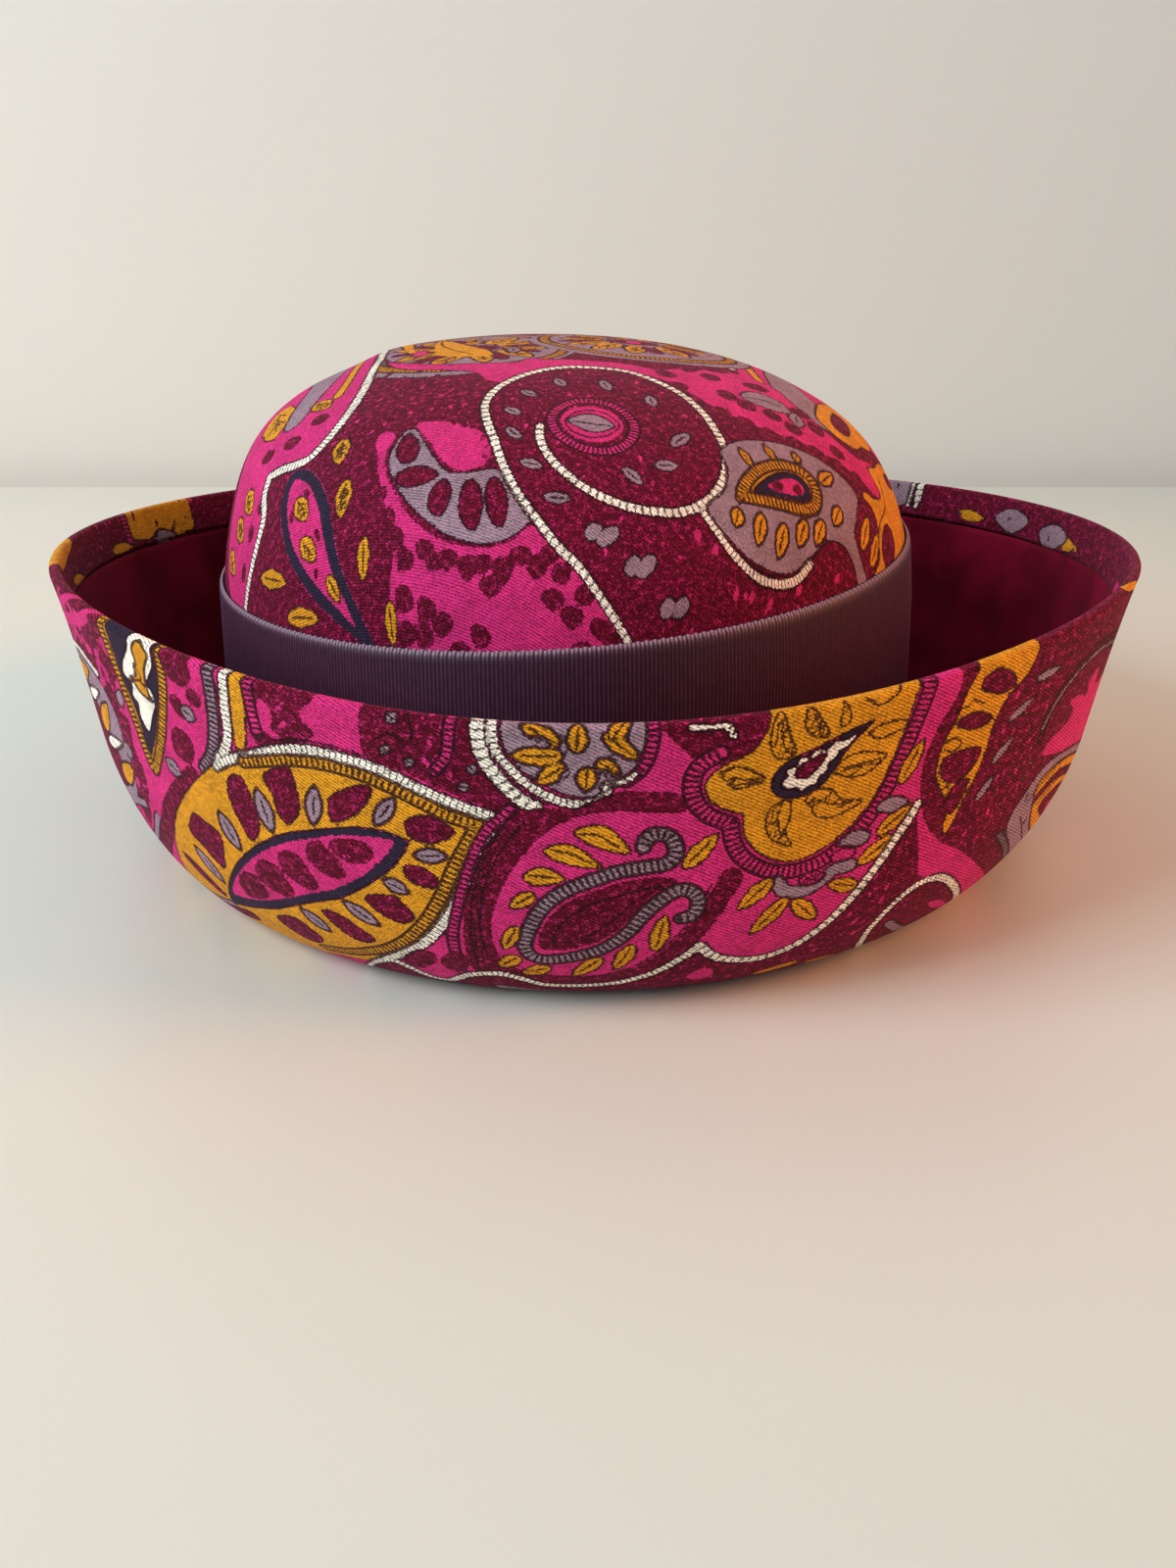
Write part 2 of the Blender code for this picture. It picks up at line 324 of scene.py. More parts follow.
# %% Crown surface
def crown_grid(bearings, wall_rows, dome_rows):
    """Outer face of the crown from its foot to just under its top. The wall is an oval. On the dome a
    share out = cos(turn)^(2/2.6) and a share up = sin(turn)^(2/2.72), walked in even steps."""
    turn = np.linspace(0.0, np.pi / 2, 600)
    out, up = np.cos(turn) ** (2 / DOME_ROUND_OUT), np.sin(turn) ** (2 / DOME_ROUND_UP)
    step = np.hypot(np.diff(out) * CROWN_HALF_WIDTH, np.diff(up) * (CROWN_HEIGHT - WALL_HEIGHT))
    walk = np.concatenate([[0.0], np.cumsum(step)]) / step.sum()
    even = np.linspace(0.0, 1.0, dome_rows + 1)[:-1]
    out, up = np.interp(even, walk, out)[:, None], np.interp(even, walk, up)[:, None]
    x = CROWN_HALF_WIDTH * out * np.cos(bearings) - RIM_SHIFT_RIGHT + CROWN_LEAN * up**2
    y = CROWN_HALF_LENGTH * out * np.sin(bearings) - RIM_SHIFT_BACK
    z = WALL_HEIGHT + (CROWN_HEIGHT - WALL_HEIGHT) * up + SHOULDER_DROP * np.cos(bearings) * out * up
    dome = np.stack(np.broadcast_arrays(x, y, z), axis=-1)
    levels = np.linspace(ROLL_HEIGHT, WALL_HEIGHT, wall_rows + 1)[:-1]
    plan = oval(bearings, CROWN_HALF_WIDTH, CROWN_HALF_LENGTH)
    wall_part = np.stack([np.column_stack([plan, np.full(len(bearings), z)]) for z in levels])
    grid = np.concatenate([wall_part, dome])
    share = np.concatenate([np.full(wall_rows, -1.0), even])[:, None]
    swell = np.zeros(grid.shape[:2])
    for bearing, place, spread_round, spread_up, height in DOME_DENTS:
        away = np.degrees(np.angle(np.exp(1j * (bearings - np.radians(bearing)))))
        swell += height * np.exp(-((away / spread_round) ** 2) - ((share - place) / spread_up) ** 2)
    return grid + normals_of(grid) * (swell * CROWN_HALF_WIDTH)[:, :, None]


def crown_top():
    """The top point of the crown's outer face."""
    return np.array([-RIM_SHIFT_RIGHT + CROWN_LEAN, -RIM_SHIFT_BACK, CROWN_HEIGHT])


print("top of the crown at", np.round(crown_top(), 4))

# %% [markdown]
# ## The shape of the brim
#
# The brim starts with a collar inside the crown, rolls down to the table, sweeps out and up as a bowl and
# flares a little to its rim. Its cloth then folds over the rim and comes down inside as a hem. One long
# section is carried round the hat, with its reach and height changing with the bearing.


# %% Brim surface
def rim_loop(bearings):
    """The rim: an oval whose height is the rim's height times 1 + a sum of cosine waves."""
    rise = sum(share * np.cos(waves * (bearings - np.radians(crest))) for waves, share, crest in RIM_WAVES)
    plan = oval(bearings, RIM_HALF_WIDTH, RIM_HALF_LENGTH, RIM_SHIFT_RIGHT, RIM_SHIFT_BACK)
    return np.column_stack([plan, RIM_HEIGHT * (1 + rise)])


def bowl_section(bearings, steps=48):
    """Outer face from the middle of the rest ring to the rim. In the bowl, across = start + (bowl - start)
    sin(turn) + lean z with z = bowl height (1 - cos(turn)); above it, bowl + lean z + lip share^3."""
    foot = oval(
        bearings,
        CROWN_HALF_WIDTH + FOOT_REACH,
        CROWN_HALF_LENGTH + FOOT_REACH,
        FOOT_SHIFT_RIGHT,
        FOOT_SHIFT_BACK,
    )
    rim = rim_loop(bearings)
    reach = rim[:, :2] - foot
    length = np.linalg.norm(reach, axis=1)
    outward = reach / length[:, None]
    lip = LIP_FLARE * (0.5 + 0.5 * np.cos(2 * bearings))
    bowl = BOWL_WIDTH + BOWL_RIGHT_EXTRA * np.cos(bearings)
    lean = (length - bowl - lip) / rim[:, 2]
    start = REST_WIDTH / 2
    turn = np.linspace(0.0, np.pi / 2, steps)[:, None]
    z_low = BOWL_HEIGHT * (1 - np.cos(turn)) + 0 * lean
    low = start + (bowl - start) * np.sin(turn) + lean * z_low
    share = np.linspace(0.0, 1.0, steps)[1:, None]
    z_high = BOWL_HEIGHT + (rim[:, 2] - BOWL_HEIGHT) * share
    high = bowl + lean * z_high + lip * share**3
    across = np.concatenate([0 * lean[None], low, high])
    z = np.concatenate([0 * lean[None], z_low, z_high])
    return foot, outward, across, z


def evenly(values, along, shares):
    """Resamples each column of values at given shares of its length along."""
    out = np.empty((len(shares), values.shape[1]))
    for k in range(values.shape[1]):
        out[:, k] = np.interp(shares * along[-1, k], along[:, k], values[:, k])
    return out


def bowl_grid(bearings, shares):
    """Outer face of the bowl at given shares of its length from the rest ring's middle to the rim."""
    foot, outward, across, z = bowl_section(bearings)
    step = np.hypot(np.diff(across, axis=0), np.diff(z, axis=0))
    along = np.concatenate([np.zeros((1, len(bearings))), np.cumsum(step, axis=0)])
    across, z = evenly(across, along, shares), evenly(z, along, shares)
    plan = foot[None] + outward[None] * across[:, :, None]
    return np.concatenate([plan, z[:, :, None]], axis=-1), along[-1]


def roll_grid(bearings, collar_rows, roll_rows):
    """Collar and roll, from the collar's top down to the rest ring's inner edge. The roll is a quarter of
    an ellipse."""
    inset = CROWN_THICK + GAP + BRIM_THICK
    collar = oval(bearings, CROWN_HALF_WIDTH - inset, CROWN_HALF_LENGTH - inset)
    foot, outward, _, _ = bowl_section(bearings, 2)
    roll = foot - outward * REST_WIDTH / 2 - collar
    levels = np.linspace(COLLAR_HEIGHT, ROLL_HEIGHT, collar_rows + 1)[:-1]
    loops = [np.column_stack([collar, np.full(len(bearings), z)]) for z in levels]
    for turn in np.linspace(0.0, np.pi / 2, roll_rows):
        across = collar + roll * (1 - math.cos(turn))
        loops.append(np.column_stack([across, np.full(len(bearings), ROLL_HEIGHT * (1 - math.sin(turn)))]))
    return np.array(loops)


section_lengths = bowl_grid(columns(PRINT_RADIUS_MM, 6.0, 6.0), np.array([0.0, 1.0]))[1]
print("the brim's section is up to", round(section_lengths.max() / MM, 1), "mm long")

# %% [markdown]
# ## Making the pieces
#
# Cloth has a thickness that shows wherever it ends, so each piece is a closed loop of rows: up one face,
# over the edge, and back down the other, set off along the normals. Rows are close together where the
# print shows and few where nothing is seen.


# %% Crown piece
CROWN_RADIUS_MM = 92.0
CROWN_STEPS_MM = (0.74, 1.35)
CROWN_WALL_ROWS, CROWN_DOME_ROWS, CROWN_INNER_ROWS = 5, 136, 7


def make_crown():
    """Outer face up to the pole, then the inner face a cloth's and a form's thickness inside it."""
    bearings = columns(CROWN_RADIUS_MM, *CROWN_STEPS_MM)
    outer = crown_grid(bearings, CROWN_WALL_ROWS, CROWN_DOME_ROWS)
    normals = normals_of(outer)
    dome_rows = np.linspace(CROWN_WALL_ROWS, len(outer) - 3, CROWN_INNER_ROWS).astype(int)
    inner_rows = np.concatenate([[0, 3], dome_rows])
    inner = (outer - normals * CROWN_THICK)[inner_rows]
    inner[0, :, 2] = ROLL_HEIGHT
    loops = np.concatenate([outer[::-1], inner])
    rows, count = loops.shape[:2]
    quads = grid_faces(rows, count, ring=False)
    top, under = crown_top(), crown_top() - [0.0, 0.0, CROWN_THICK]
    points = np.concatenate([loops.reshape(-1, 3), [top, under]])
    here = np.arange(count)
    after = (here + 1) % count
    first = np.stack([here, after, np.full(count, rows * count)], axis=-1)
    last = (rows - 1) * count
    second = np.stack([last + after, last + here, np.full(count, rows * count + 1)], axis=-1)
    poles = np.concatenate([first, second])
    mesh = make_mesh("crown_cloth", points, quads[:, ::-1], poles[:, ::-1])
    length = up_the_rows(outer[::-1]) + np.linalg.norm(outer[-1] - top, axis=-1)
    chart = np.stack([length * np.cos(bearings), length * np.sin(bearings)], axis=-1) / MM
    inner_chart = chart[::-1][inner_rows]
    chart = np.concatenate([chart.reshape(-1, 2), inner_chart.reshape(-1, 2), np.zeros((2, 2))])
    return mesh, chart


crown_mesh, crown_chart = make_crown()
crown = place_piece(crown_mesh, "crown")

# %% [markdown]
# ## The cloth of the brim
#
# On the real hat the cloth is turned over the rim and sewn down inside as a hem. A Solidify modifier
# would thicken a sheet but make no hem, so one section goes all the way: collar, roll, bowl, a fold over
# the rim, the hem with its raw edge, and the hidden inner face back to the collar.

# %% Brim piece
COLLAR_ROWS, ROLL_ROWS, BOWL_ROWS, RIM_FOLD_STEPS, BRIM_INNER_ROWS = 2, 5, 92, 8, 9
RIM_FOLD_ROUND = 0.8


def make_brim():
    """Collar, roll, bowl, a half round fold over the rim, the hem inside, and the hidden inner face."""
    bearings = columns(PRINT_RADIUS_MM, *BRIM_STEPS_MM)
    fold_thick = BRIM_THICK + GAP + LINING_THICK
    bowl, length = bowl_grid(bearings, np.linspace(0.0, 1.0, BOWL_ROWS))
    roll = roll_grid(bearings, COLLAR_ROWS, ROLL_ROWS)
    outer = np.concatenate([roll, bowl])
    normals = normals_of(outer)
    centre = outer[-1] - normals[-1] * fold_thick / 2
    upward = np.cross(normals[-1], np.roll(centre, -1, axis=0) - np.roll(centre, 1, axis=0))
    upward /= np.linalg.norm(upward, axis=1, keepdims=True)
    upward *= np.sign(upward[:, 2:])
    fold = []
    for turn in np.linspace(0.0, np.pi, RIM_FOLD_STEPS + 1)[1:-1]:
        side = normals[-1] * math.cos(turn) * fold_thick / 2
        fold.append(centre + side + upward * math.sin(turn) * fold_thick / 2 * RIM_FOLD_ROUND)
    hem_rows = int(round(HEM_DEPTH * (BOWL_ROWS - 1) / length.mean()))
    hem = (outer - normals * fold_thick)[::-1][: hem_rows + 1]
    # The raw edge of the hem is a third of the way down between its face and the cloth under it
    edge_depth = (fold_thick + BRIM_THICK / 2) / 1.5
    hem_edge = (outer - normals * edge_depth)[::-1][hem_rows : hem_rows + 1]
    inner = (outer - normals * BRIM_THICK)[::-1]
    inner_rows = np.linspace(hem_rows, len(inner) - 3, BRIM_INNER_ROWS).astype(int)
    inner = inner[np.append(inner_rows, len(inner) - 1)]
    loops = np.concatenate([outer, np.array(fold), hem, hem_edge, inner])
    rows, count = loops.shape[:2]
    mesh = make_mesh("brim_cloth", loops.reshape(-1, 3), grid_faces(rows, count, ring=True))
    along = up_the_rows(loops) / MM
    v = along - along[len(roll)]
    u = np.broadcast_to(PRINT_RADIUS_MM * (bearings - FRONT), v.shape)
    return mesh, np.stack([u, v], axis=-1).reshape(-1, 2)


brim_mesh, brim_chart = make_brim()
brim = place_piece(brim_mesh, "brim")

# %% [markdown]
# ## The lining
#
# A separate piece of velveteen lies in the bowl, from the crown's foot to just under the hem. It could be
# a copy of the brim moved inwards, but its two ends lie elsewhere, so its rows are laid at even steps
# between them.

# %% Lining piece
LINING_STEPS_MM = (1.6, 2.2)
LINING_ROWS, LINING_ROLL_ROWS = 52, 9
LINING_BELOW_HEM = 0.0006


def make_lining():
    """It follows the brim's inner face from the crown's foot to the hem."""
    bearings = columns(PRINT_RADIUS_MM, *LINING_STEPS_MM)
    shares = np.linspace(0.0, 1.0, LINING_ROWS)
    bowl, length = bowl_grid(bearings, shares)
    roll = roll_grid(bearings, 1, LINING_ROLL_ROWS)
    inset = CROWN_THICK + GAP + BRIM_THICK
    foot, outward, _, _ = bowl_section(bearings, 2)
    collar = roll[0][:, :2]
    width = np.linalg.norm(foot - outward * REST_WIDTH / 2 - collar, axis=1)
    clear = inset + GAP + RIBBON_THICK + LINING_SETBACK
    outer = np.concatenate([roll, bowl])
    normals = normals_of(outer)
    start_turn = np.arccos(1 - clear / np.maximum(width, clear))
    hem_share = 1 - (HEM_DEPTH + LINING_BELOW_HEM) / length
    along = up_the_rows(outer)
    turn_of_row = np.linspace(0.0, np.pi / 2, LINING_ROLL_ROWS)
    roll_along = along[1 : LINING_ROLL_ROWS + 1]
    every_column = range(len(bearings))
    begin = np.array([np.interp(start_turn[k], turn_of_row, roll_along[:, k]) for k in every_column])
    end = along[len(roll)] + length * hem_share
    walk = begin + (end - begin) * shares[:, None]
    faces = []
    for depth in (BRIM_THICK + GAP, BRIM_THICK + GAP + LINING_THICK):
        face = outer - normals * depth
        made = np.empty((LINING_ROWS, len(bearings), 3))
        for k in every_column:
            for axis in range(3):
                made[:, k, axis] = np.interp(walk[:, k], along[:, k], face[:, k, axis])
        faces.append(made)
    near, far = faces
    loops = np.concatenate([near, far[::-1]])
    rows, count = loops.shape[:2]
    return make_mesh("lining_velvet", loops.reshape(-1, 3), grid_faces(rows, count, ring=True))


lining = place_piece(make_lining(), "brim_lining")

# %% [markdown]
# ## The ribbon
#
# Grosgrain has ribs across it, 0.88 mm apart here, and a row of tiny loops along each edge. A bump
# texture could draw the ribs but would leave the edge smooth, so both are modelled, with four columns to
# a rib and rows close together at the edges.

# %% Ribbon piece
RIB_PITCH, RIB_DEPTH, PICOT_HEIGHT, PICOT_LEVEL = 0.00088, 0.0001, 0.0003, 0.4
RIB_COLUMNS, RIBBON_FACE_ROWS = 4, 44
RIBBON_SHARES = np.array([0.0, 0.015, 0.04, 0.2, 0.4, 0.6, 0.8, 0.96, 0.985, 1.0])
PICOT_SHARE, SELVEDGE_SHARE, EDGE_THICKNESS = 0.1, 0.03, 0.55


def make_ribbon():
    """Grosgrain: the ribbon's face swells out as a cosine wave over each rib, and each edge bulges by
    |sin| over two ribs. Each point keeps how near it is to a rib's crest, where the material paints a
    highlight, and to an edge."""
    coarse = np.linspace(0.0, 2 * np.pi, 721)
    plan = oval(coarse, CROWN_HALF_WIDTH, CROWN_HALF_LENGTH)
    walk = np.concatenate([[0.0], np.cumsum(np.linalg.norm(np.diff(plan, axis=0), axis=1))])
    ribs = 2 * int(round(walk[-1] / RIB_PITCH / 2))
    at = np.arange(ribs * RIB_COLUMNS) / RIB_COLUMNS
    bearings = np.interp(at / ribs * walk[-1], walk, coarse)
    face = crown_grid(bearings, CROWN_WALL_ROWS, RIBBON_FACE_ROWS)
    normals = normals_of(face)
    rib = 0.5 + 0.5 * np.cos(2 * np.pi * at)
    picot = np.abs(np.sin(np.pi * at / 2)) - PICOT_LEVEL
    top = RIBBON_TOP + RIBBON_TILT * np.cos(bearings)
    near, far = [], []
    for share in RIBBON_SHARES:
        level = RIBBON_FOOT + (top - RIBBON_FOOT) * share
        column = [np.empty((len(bearings), 3)), np.empty((len(bearings), 3))]
        for source, made in zip((face, normals), column):
            for axis in range(3):
                made[:, axis] = [
                    np.interp(level[k], face[:, k, 2], source[:, k, axis]) for k in range(len(bearings))
                ]
        point, normal = column
        edge = (max(0.0, share - 1 + PICOT_SHARE) - max(0.0, PICOT_SHARE - share)) / PICOT_SHARE
        lift = np.zeros_like(point)
        lift[:, 2] = picot * edge * PICOT_HEIGHT
        thick = RIBBON_THICK * (EDGE_THICKNESS if share in (0.0, 1.0) else 1.0)
        near.append(point + normal * GAP + lift)
        far.append(point + normal * (GAP + thick + RIB_DEPTH * (rib[:, None] - 1)) + lift)
    loops = np.concatenate([np.array(far), np.array(near)[::-1][::3]])
    rows, count = loops.shape[:2]
    mesh = make_mesh("ribbon_grosgrain", loops.reshape(-1, 3), grid_faces(rows, count, ring=True))
    edge = np.zeros(rows)
    from_edge = np.minimum(RIBBON_SHARES, 1 - RIBBON_SHARES)
    edge[: len(RIBBON_SHARES)] = np.clip(1 - from_edge / SELVEDGE_SHARE, 0, 1)
    # This number, highest on each rib's crest, lets the material paint a highlight on the crests and shade
    # in the grooves
    store(mesh, "crest", np.broadcast_to(rib, (rows, count)))
    store(mesh, "selvedge", edge[:, None] * (0.35 + 0.65 * rib) + np.zeros((rows, count)))
    return mesh


ribbon = place_piece(make_ribbon(), "ribbon")


# %% [markdown]
# ## A print that is drawn with distances
#
# The real cloth is wool printed with several inks: a pink ground, burgundy, ochre, lilac grey, cream and
# a dark outline. A picture could be wrapped round the hat, but a drawing stays sharp and editable. Here
# each point of the mesh knows where it lies on the flat cloth, in millimetres. Each shape is drawn by
# writing down, for every point near it, how deep the point lies inside that shape. The material then
# only asks where a depth passes zero, so an edge is much finer than the mesh.
#
# Shapes are painted one over another: inside a new shape its own colour gets deeper and all the others
# get shallower, by the same distance.

# %% The cloth and its colours
INKS = ("burgundy", "ochre", "lilac", "cream", "navy")
KEPT_NUMBERS = (*INKS, "rung_turn", "rung_edge", "rung_gate", "line_side", "line_gate")
DEPTH_LIMIT, FAR_OFF = 2.5, 9.0
LINE_REACH, LINE_CLEAR, RUNG_CLEAR, RUNG_OVERHANG = 0.8, 0.35, 0.3, 0.35
EDGES_AT_ONCE, MEASURE_REACH = 8, 4.2
RUNG_PITCH, BEAD_PITCH = 1.15, 1.9


def new_cloth(chart):
    """A blank pink cloth: for each point of the chart, the depth in each ink, and what lines pass there."""
    count = len(chart)
    order = np.argsort(chart[:, 0])
    cloth = {"at": chart, "order": order, "across": chart[order, 0], "pink": np.full(count, DEPTH_LIMIT)}
    cloth |= {ink: np.full(count, -DEPTH_LIMIT) for ink in INKS}
    cloth |= {name: np.full(count, -FAR_OFF) for name in ("rung_gate", "line_gate")}
    cloth |= {name: np.full(count, FAR_OFF) for name in ("rung_turn", "rung_edge", "line_side")}
    return cloth


def numbers(text):
    """Points written as x,y pairs with spaces between them."""
    return np.array([[float(part) for part in pair.split(",")] for pair in text.split()])


def smooth(points, closed, step=0.7):
    """A Catmull-Rom curve through the points. A point that is written twice is a corner: the curve is
    made of runs from corner to corner."""
    if closed and not np.allclose(points[0], points[-1]):
        points = np.concatenate([points, points[:1]])
    same = np.linalg.norm(np.diff(points, axis=0), axis=1) < 1e-9
    runs = np.split(points, np.flatnonzero(same) + 1)
    whole = closed and len(runs) == 1
    made = []
    for run in runs:
        if len(run) < 2:
            continue
        before = run[-2] if whole else 2 * run[0] - run[1]
        after = run[1] if whole else 2 * run[-1] - run[-2]
        padded = np.concatenate([[before], run, [after]])
        for k in range(len(run) - 1):
            p0, p1, p2, p3 = padded[k : k + 4]
            count = max(2, int(np.linalg.norm(p2 - p1) / step) + 1)
            t = np.linspace(0.0, 1.0, count, endpoint=False)[:, None]
            made.append(
                p1
                + 0.5 * t * (p2 - p0)
                + t**2 * (p0 - 2.5 * p1 + 2 * p2 - 0.5 * p3)
                + t**3 * (-0.5 * p0 + 1.5 * p1 - 1.5 * p2 + 0.5 * p3)
            )
        made.append(run[-1:])
    curve = np.concatenate(made)
    keep = np.concatenate([[True], np.linalg.norm(np.diff(curve, axis=0), axis=1) > 1e-6])
    curve = curve[keep]
    return curve[:-1] if closed and np.allclose(curve[0], curve[-1]) else curve


def around(cloth, outline, margin):
    """Numbers of the cloth's points in the outline's box grown by a margin."""
    low, high = outline.min(axis=0) - margin, outline.max(axis=0) + margin
    first, last = np.searchsorted(cloth["across"], [low[0], high[0]])
    near = cloth["order"][first:last]
    up = cloth["at"][near, 1]
    return near[(up > low[1]) & (up < high[1])]


def measure(at, outline, closed):
    """From each point to the nearest place of an outline: how far, signed by side, and how far along.
    The side is the inside, by counting crossings, or the left of an open line, by a cross product. A
    few edges are taken at a time, with only the points near them."""
    ends = np.roll(outline, -1, axis=0) if closed else outline[1:]
    starts = outline if closed else outline[:-1]
    edges = ends - starts
    long = np.linalg.norm(edges, axis=1)
    begun = np.concatenate([[0.0], np.cumsum(long)])
    far, along = np.full(len(at), FAR_OFF), np.zeros(len(at))
    left = np.zeros(len(at), dtype=bool)
    for k in range(0, len(starts), EDGES_AT_ONCE):
        start, edge, end = (part[k : k + EDGES_AT_ONCE] for part in (starts, edges, ends))
        low, high = np.minimum(start, end).min(axis=0), np.maximum(start, end).max(axis=0)
        if closed:
            level = (at[:, 1] >= low[1]) & (at[:, 1] <= high[1]) & (at[:, 0] < high[0])
            some = at[level]
            above = (start[None, :, 1] > some[:, None, 1]) != (end[None, :, 1] > some[:, None, 1])
            rise = np.where(np.abs(edge[:, 1]) < 1e-12, 1e-12, edge[:, 1])
            cross_x = start[:, 0] + (some[:, 1, None] - start[:, 1]) / rise * edge[:, 0]
            left[level] ^= (above & (some[:, None, 0] < cross_x)).sum(axis=1) % 2 == 1
        near = np.flatnonzero(((at > low - MEASURE_REACH) & (at < high + MEASURE_REACH)).all(axis=1))
        if len(near) == 0:
            continue
        out = at[near, None, :] - start[None]
        share = np.clip((out * edge).sum(axis=-1) / np.maximum((edge**2).sum(axis=1), 1e-12), 0.0, 1.0)
        gap = np.linalg.norm(out - share[:, :, None] * edge, axis=-1)
        best = gap.argmin(axis=1)
        rows = np.arange(len(near))
        nearer = gap[rows, best] < far[near]
        rows, best, near = rows[nearer], best[nearer], near[nearer]
        far[near] = gap[rows, best]
        along[near] = begun[k + best] + share[rows, best] * long[k + best]
        if not closed:
            left[near] = edge[best, 0] * out[rows, best, 1] > edge[best, 1] * out[rows, best, 0]
    return far, np.where(left, far, -far), along


def paint(cloth, ink, depth, where):
    """Makes the ink deeper and every other colour shallower by the depth, at the given points."""
    depth = np.clip(depth, -DEPTH_LIMIT, DEPTH_LIMIT)
    for name in ("pink", *INKS):
        old = cloth[name][where]
        cloth[name][where] = np.maximum(old, depth) if name == ink else np.minimum(old, -depth)
    cloth["rung_gate"][where] = np.minimum(cloth["rung_gate"][where], RUNG_CLEAR - depth)
    cloth["line_gate"][where] = np.minimum(cloth["line_gate"][where], LINE_CLEAR - depth)


def fill(cloth, ink, outline):
    """Paints the inside of an outline."""
    where = around(cloth, outline, DEPTH_LIMIT)
    if len(where):
        paint(cloth, ink, measure(cloth["at"][where], outline, True)[1], where)


def draw_line(cloth, outline, closed):
    """A thin dark line: keeps the side and the distance of the nearest line."""
    where = around(cloth, outline, 2.0)
    if len(where) == 0:
        return
    far, side, _ = measure(cloth["at"][where], outline, closed)
    gate = LINE_REACH - far
    nearer = where[gate > cloth["line_gate"][where]]
    cloth["line_side"][nearer] = side[gate > cloth["line_gate"][where]]
    cloth["line_gate"][where] = np.maximum(cloth["line_gate"][where], gate)


def draw_band(cloth, ink, outline, width, closed, pitch):
    """A ribbon of one ink along a curve, with rungs across it like a ladder if a pitch is given."""
    where = around(cloth, outline, width / 2 + DEPTH_LIMIT)
    if len(where) == 0:
        return
    far, _, along = measure(cloth["at"][where], outline, closed)
    paint(cloth, ink, width / 2 - far, where)
    if pitch:
        gate = width / 2 + RUNG_OVERHANG - far
        nearer = gate > np.maximum(cloth["rung_gate"][where], -1.0)
        cloth["rung_turn"][where[nearer]] = along[nearer] / pitch
        cloth["rung_edge"][where[nearer]] = far[nearer] - width / 2
        cloth["rung_gate"][where] = np.maximum(cloth["rung_gate"][where], gate)


LEAF_POINTS, RIBBED_LEAF_WIDTH = 17, 4.5


def leaf_shape(kind, tip, foot, width):
    """A leaf's outline and its veins. Half its width over its length t goes, for a petal, as
    t^0.6 (1 - t)^0.98, for a bud as (1 - |2t - 1|^2.6)^0.5, for a lens as sin(pi t)^0.8 and for a leaf as
    sin(pi t^0.8)^0.7, waved."""
    t = np.linspace(0.0, 1.0, LEAF_POINTS)
    if kind == "petal":
        half = (t / 0.38) ** 0.6 * ((1 - t) / 0.62) ** 0.98
    elif kind == "bud":
        half = (1 - np.abs(2 * t - 1) ** 2.6) ** 0.5
    elif kind == "lens":
        half = np.abs(np.sin(np.pi * t)) ** 0.8
    else:
        half = np.abs(np.sin(np.pi * t**0.8)) ** 0.7 * (1 + 0.08 * np.sin(6 * np.pi * t))
    spine = tip - foot
    across = np.array([-spine[1], spine[0]]) / max(np.linalg.norm(spine), 1e-9) * width / 2
    middle = foot + t[:, None] * spine
    left, right = middle + half[:, None] * across, middle - half[:, None] * across
    outline = np.concatenate([left, right[::-1][1:-1]])
    veins = {"petal": [], "bud": [], "lens": [middle[5:12]]}.get(kind)
    if veins is None:
        veins = [middle[3:13]]
        if width > RIBBED_LEAF_WIDTH:
            ends = [(k, side * 0.52 * across) for k in (3, 7) for side in (-1, 1)]
            veins += [np.array([middle[k], middle[k + 4] + aside]) for k, aside in ends]
    return outline, veins


def sprinkle(outline, spacing, seed):
    """Places in an outline on a loose grid, each moved at random by a third of the spacing."""
    low, high = outline.min(axis=0), outline.max(axis=0)
    x, y = np.meshgrid(np.arange(low[0], high[0], spacing), np.arange(low[1], high[1], spacing))
    x = x + (np.arange(len(x)) % 2 * spacing / 2)[:, None]
    places = np.stack([x, y], axis=-1).reshape(-1, 2)
    random = np.random.default_rng(seed)
    places = places + random.uniform(-0.33, 0.33, places.shape) * spacing
    _, depth, _ = measure(places, outline, True)
    return places[depth > 0.5], random


def scatter(cloth, kind, ink, size, outline, seed):
    """Fills an outline with small dots, or with sprigs of three little leaves."""
    places, random = sprinkle(outline, size, seed)
    for place in places:
        if kind == "dots":
            where = around(cloth, place[None], DEPTH_LIMIT + 1.0)
            gap = (cloth["at"][where] - place) * [1.0, random.uniform(0.5, 1.0)]
            paint(cloth, ink, random.uniform(0.3, 0.62) - np.linalg.norm(gap, axis=1), where)
        else:
            aim = random.uniform(0.0, 2 * np.pi)
            for turn in (-1.15, 0.0, 1.15):
                side = np.array([math.cos(aim + turn), math.sin(aim + turn)]) * size
                tip, foot = place + side * random.uniform(0.42, 0.56), place + side * 0.06
                leaf, _ = leaf_shape("bud", tip, foot, size * 0.36)
                fill(cloth, ink, leaf)


BAND_PITCHES = {"band": RUNG_PITCH, "ring": RUNG_PITCH, "beads": BEAD_PITCH, "stripe": 0.0}


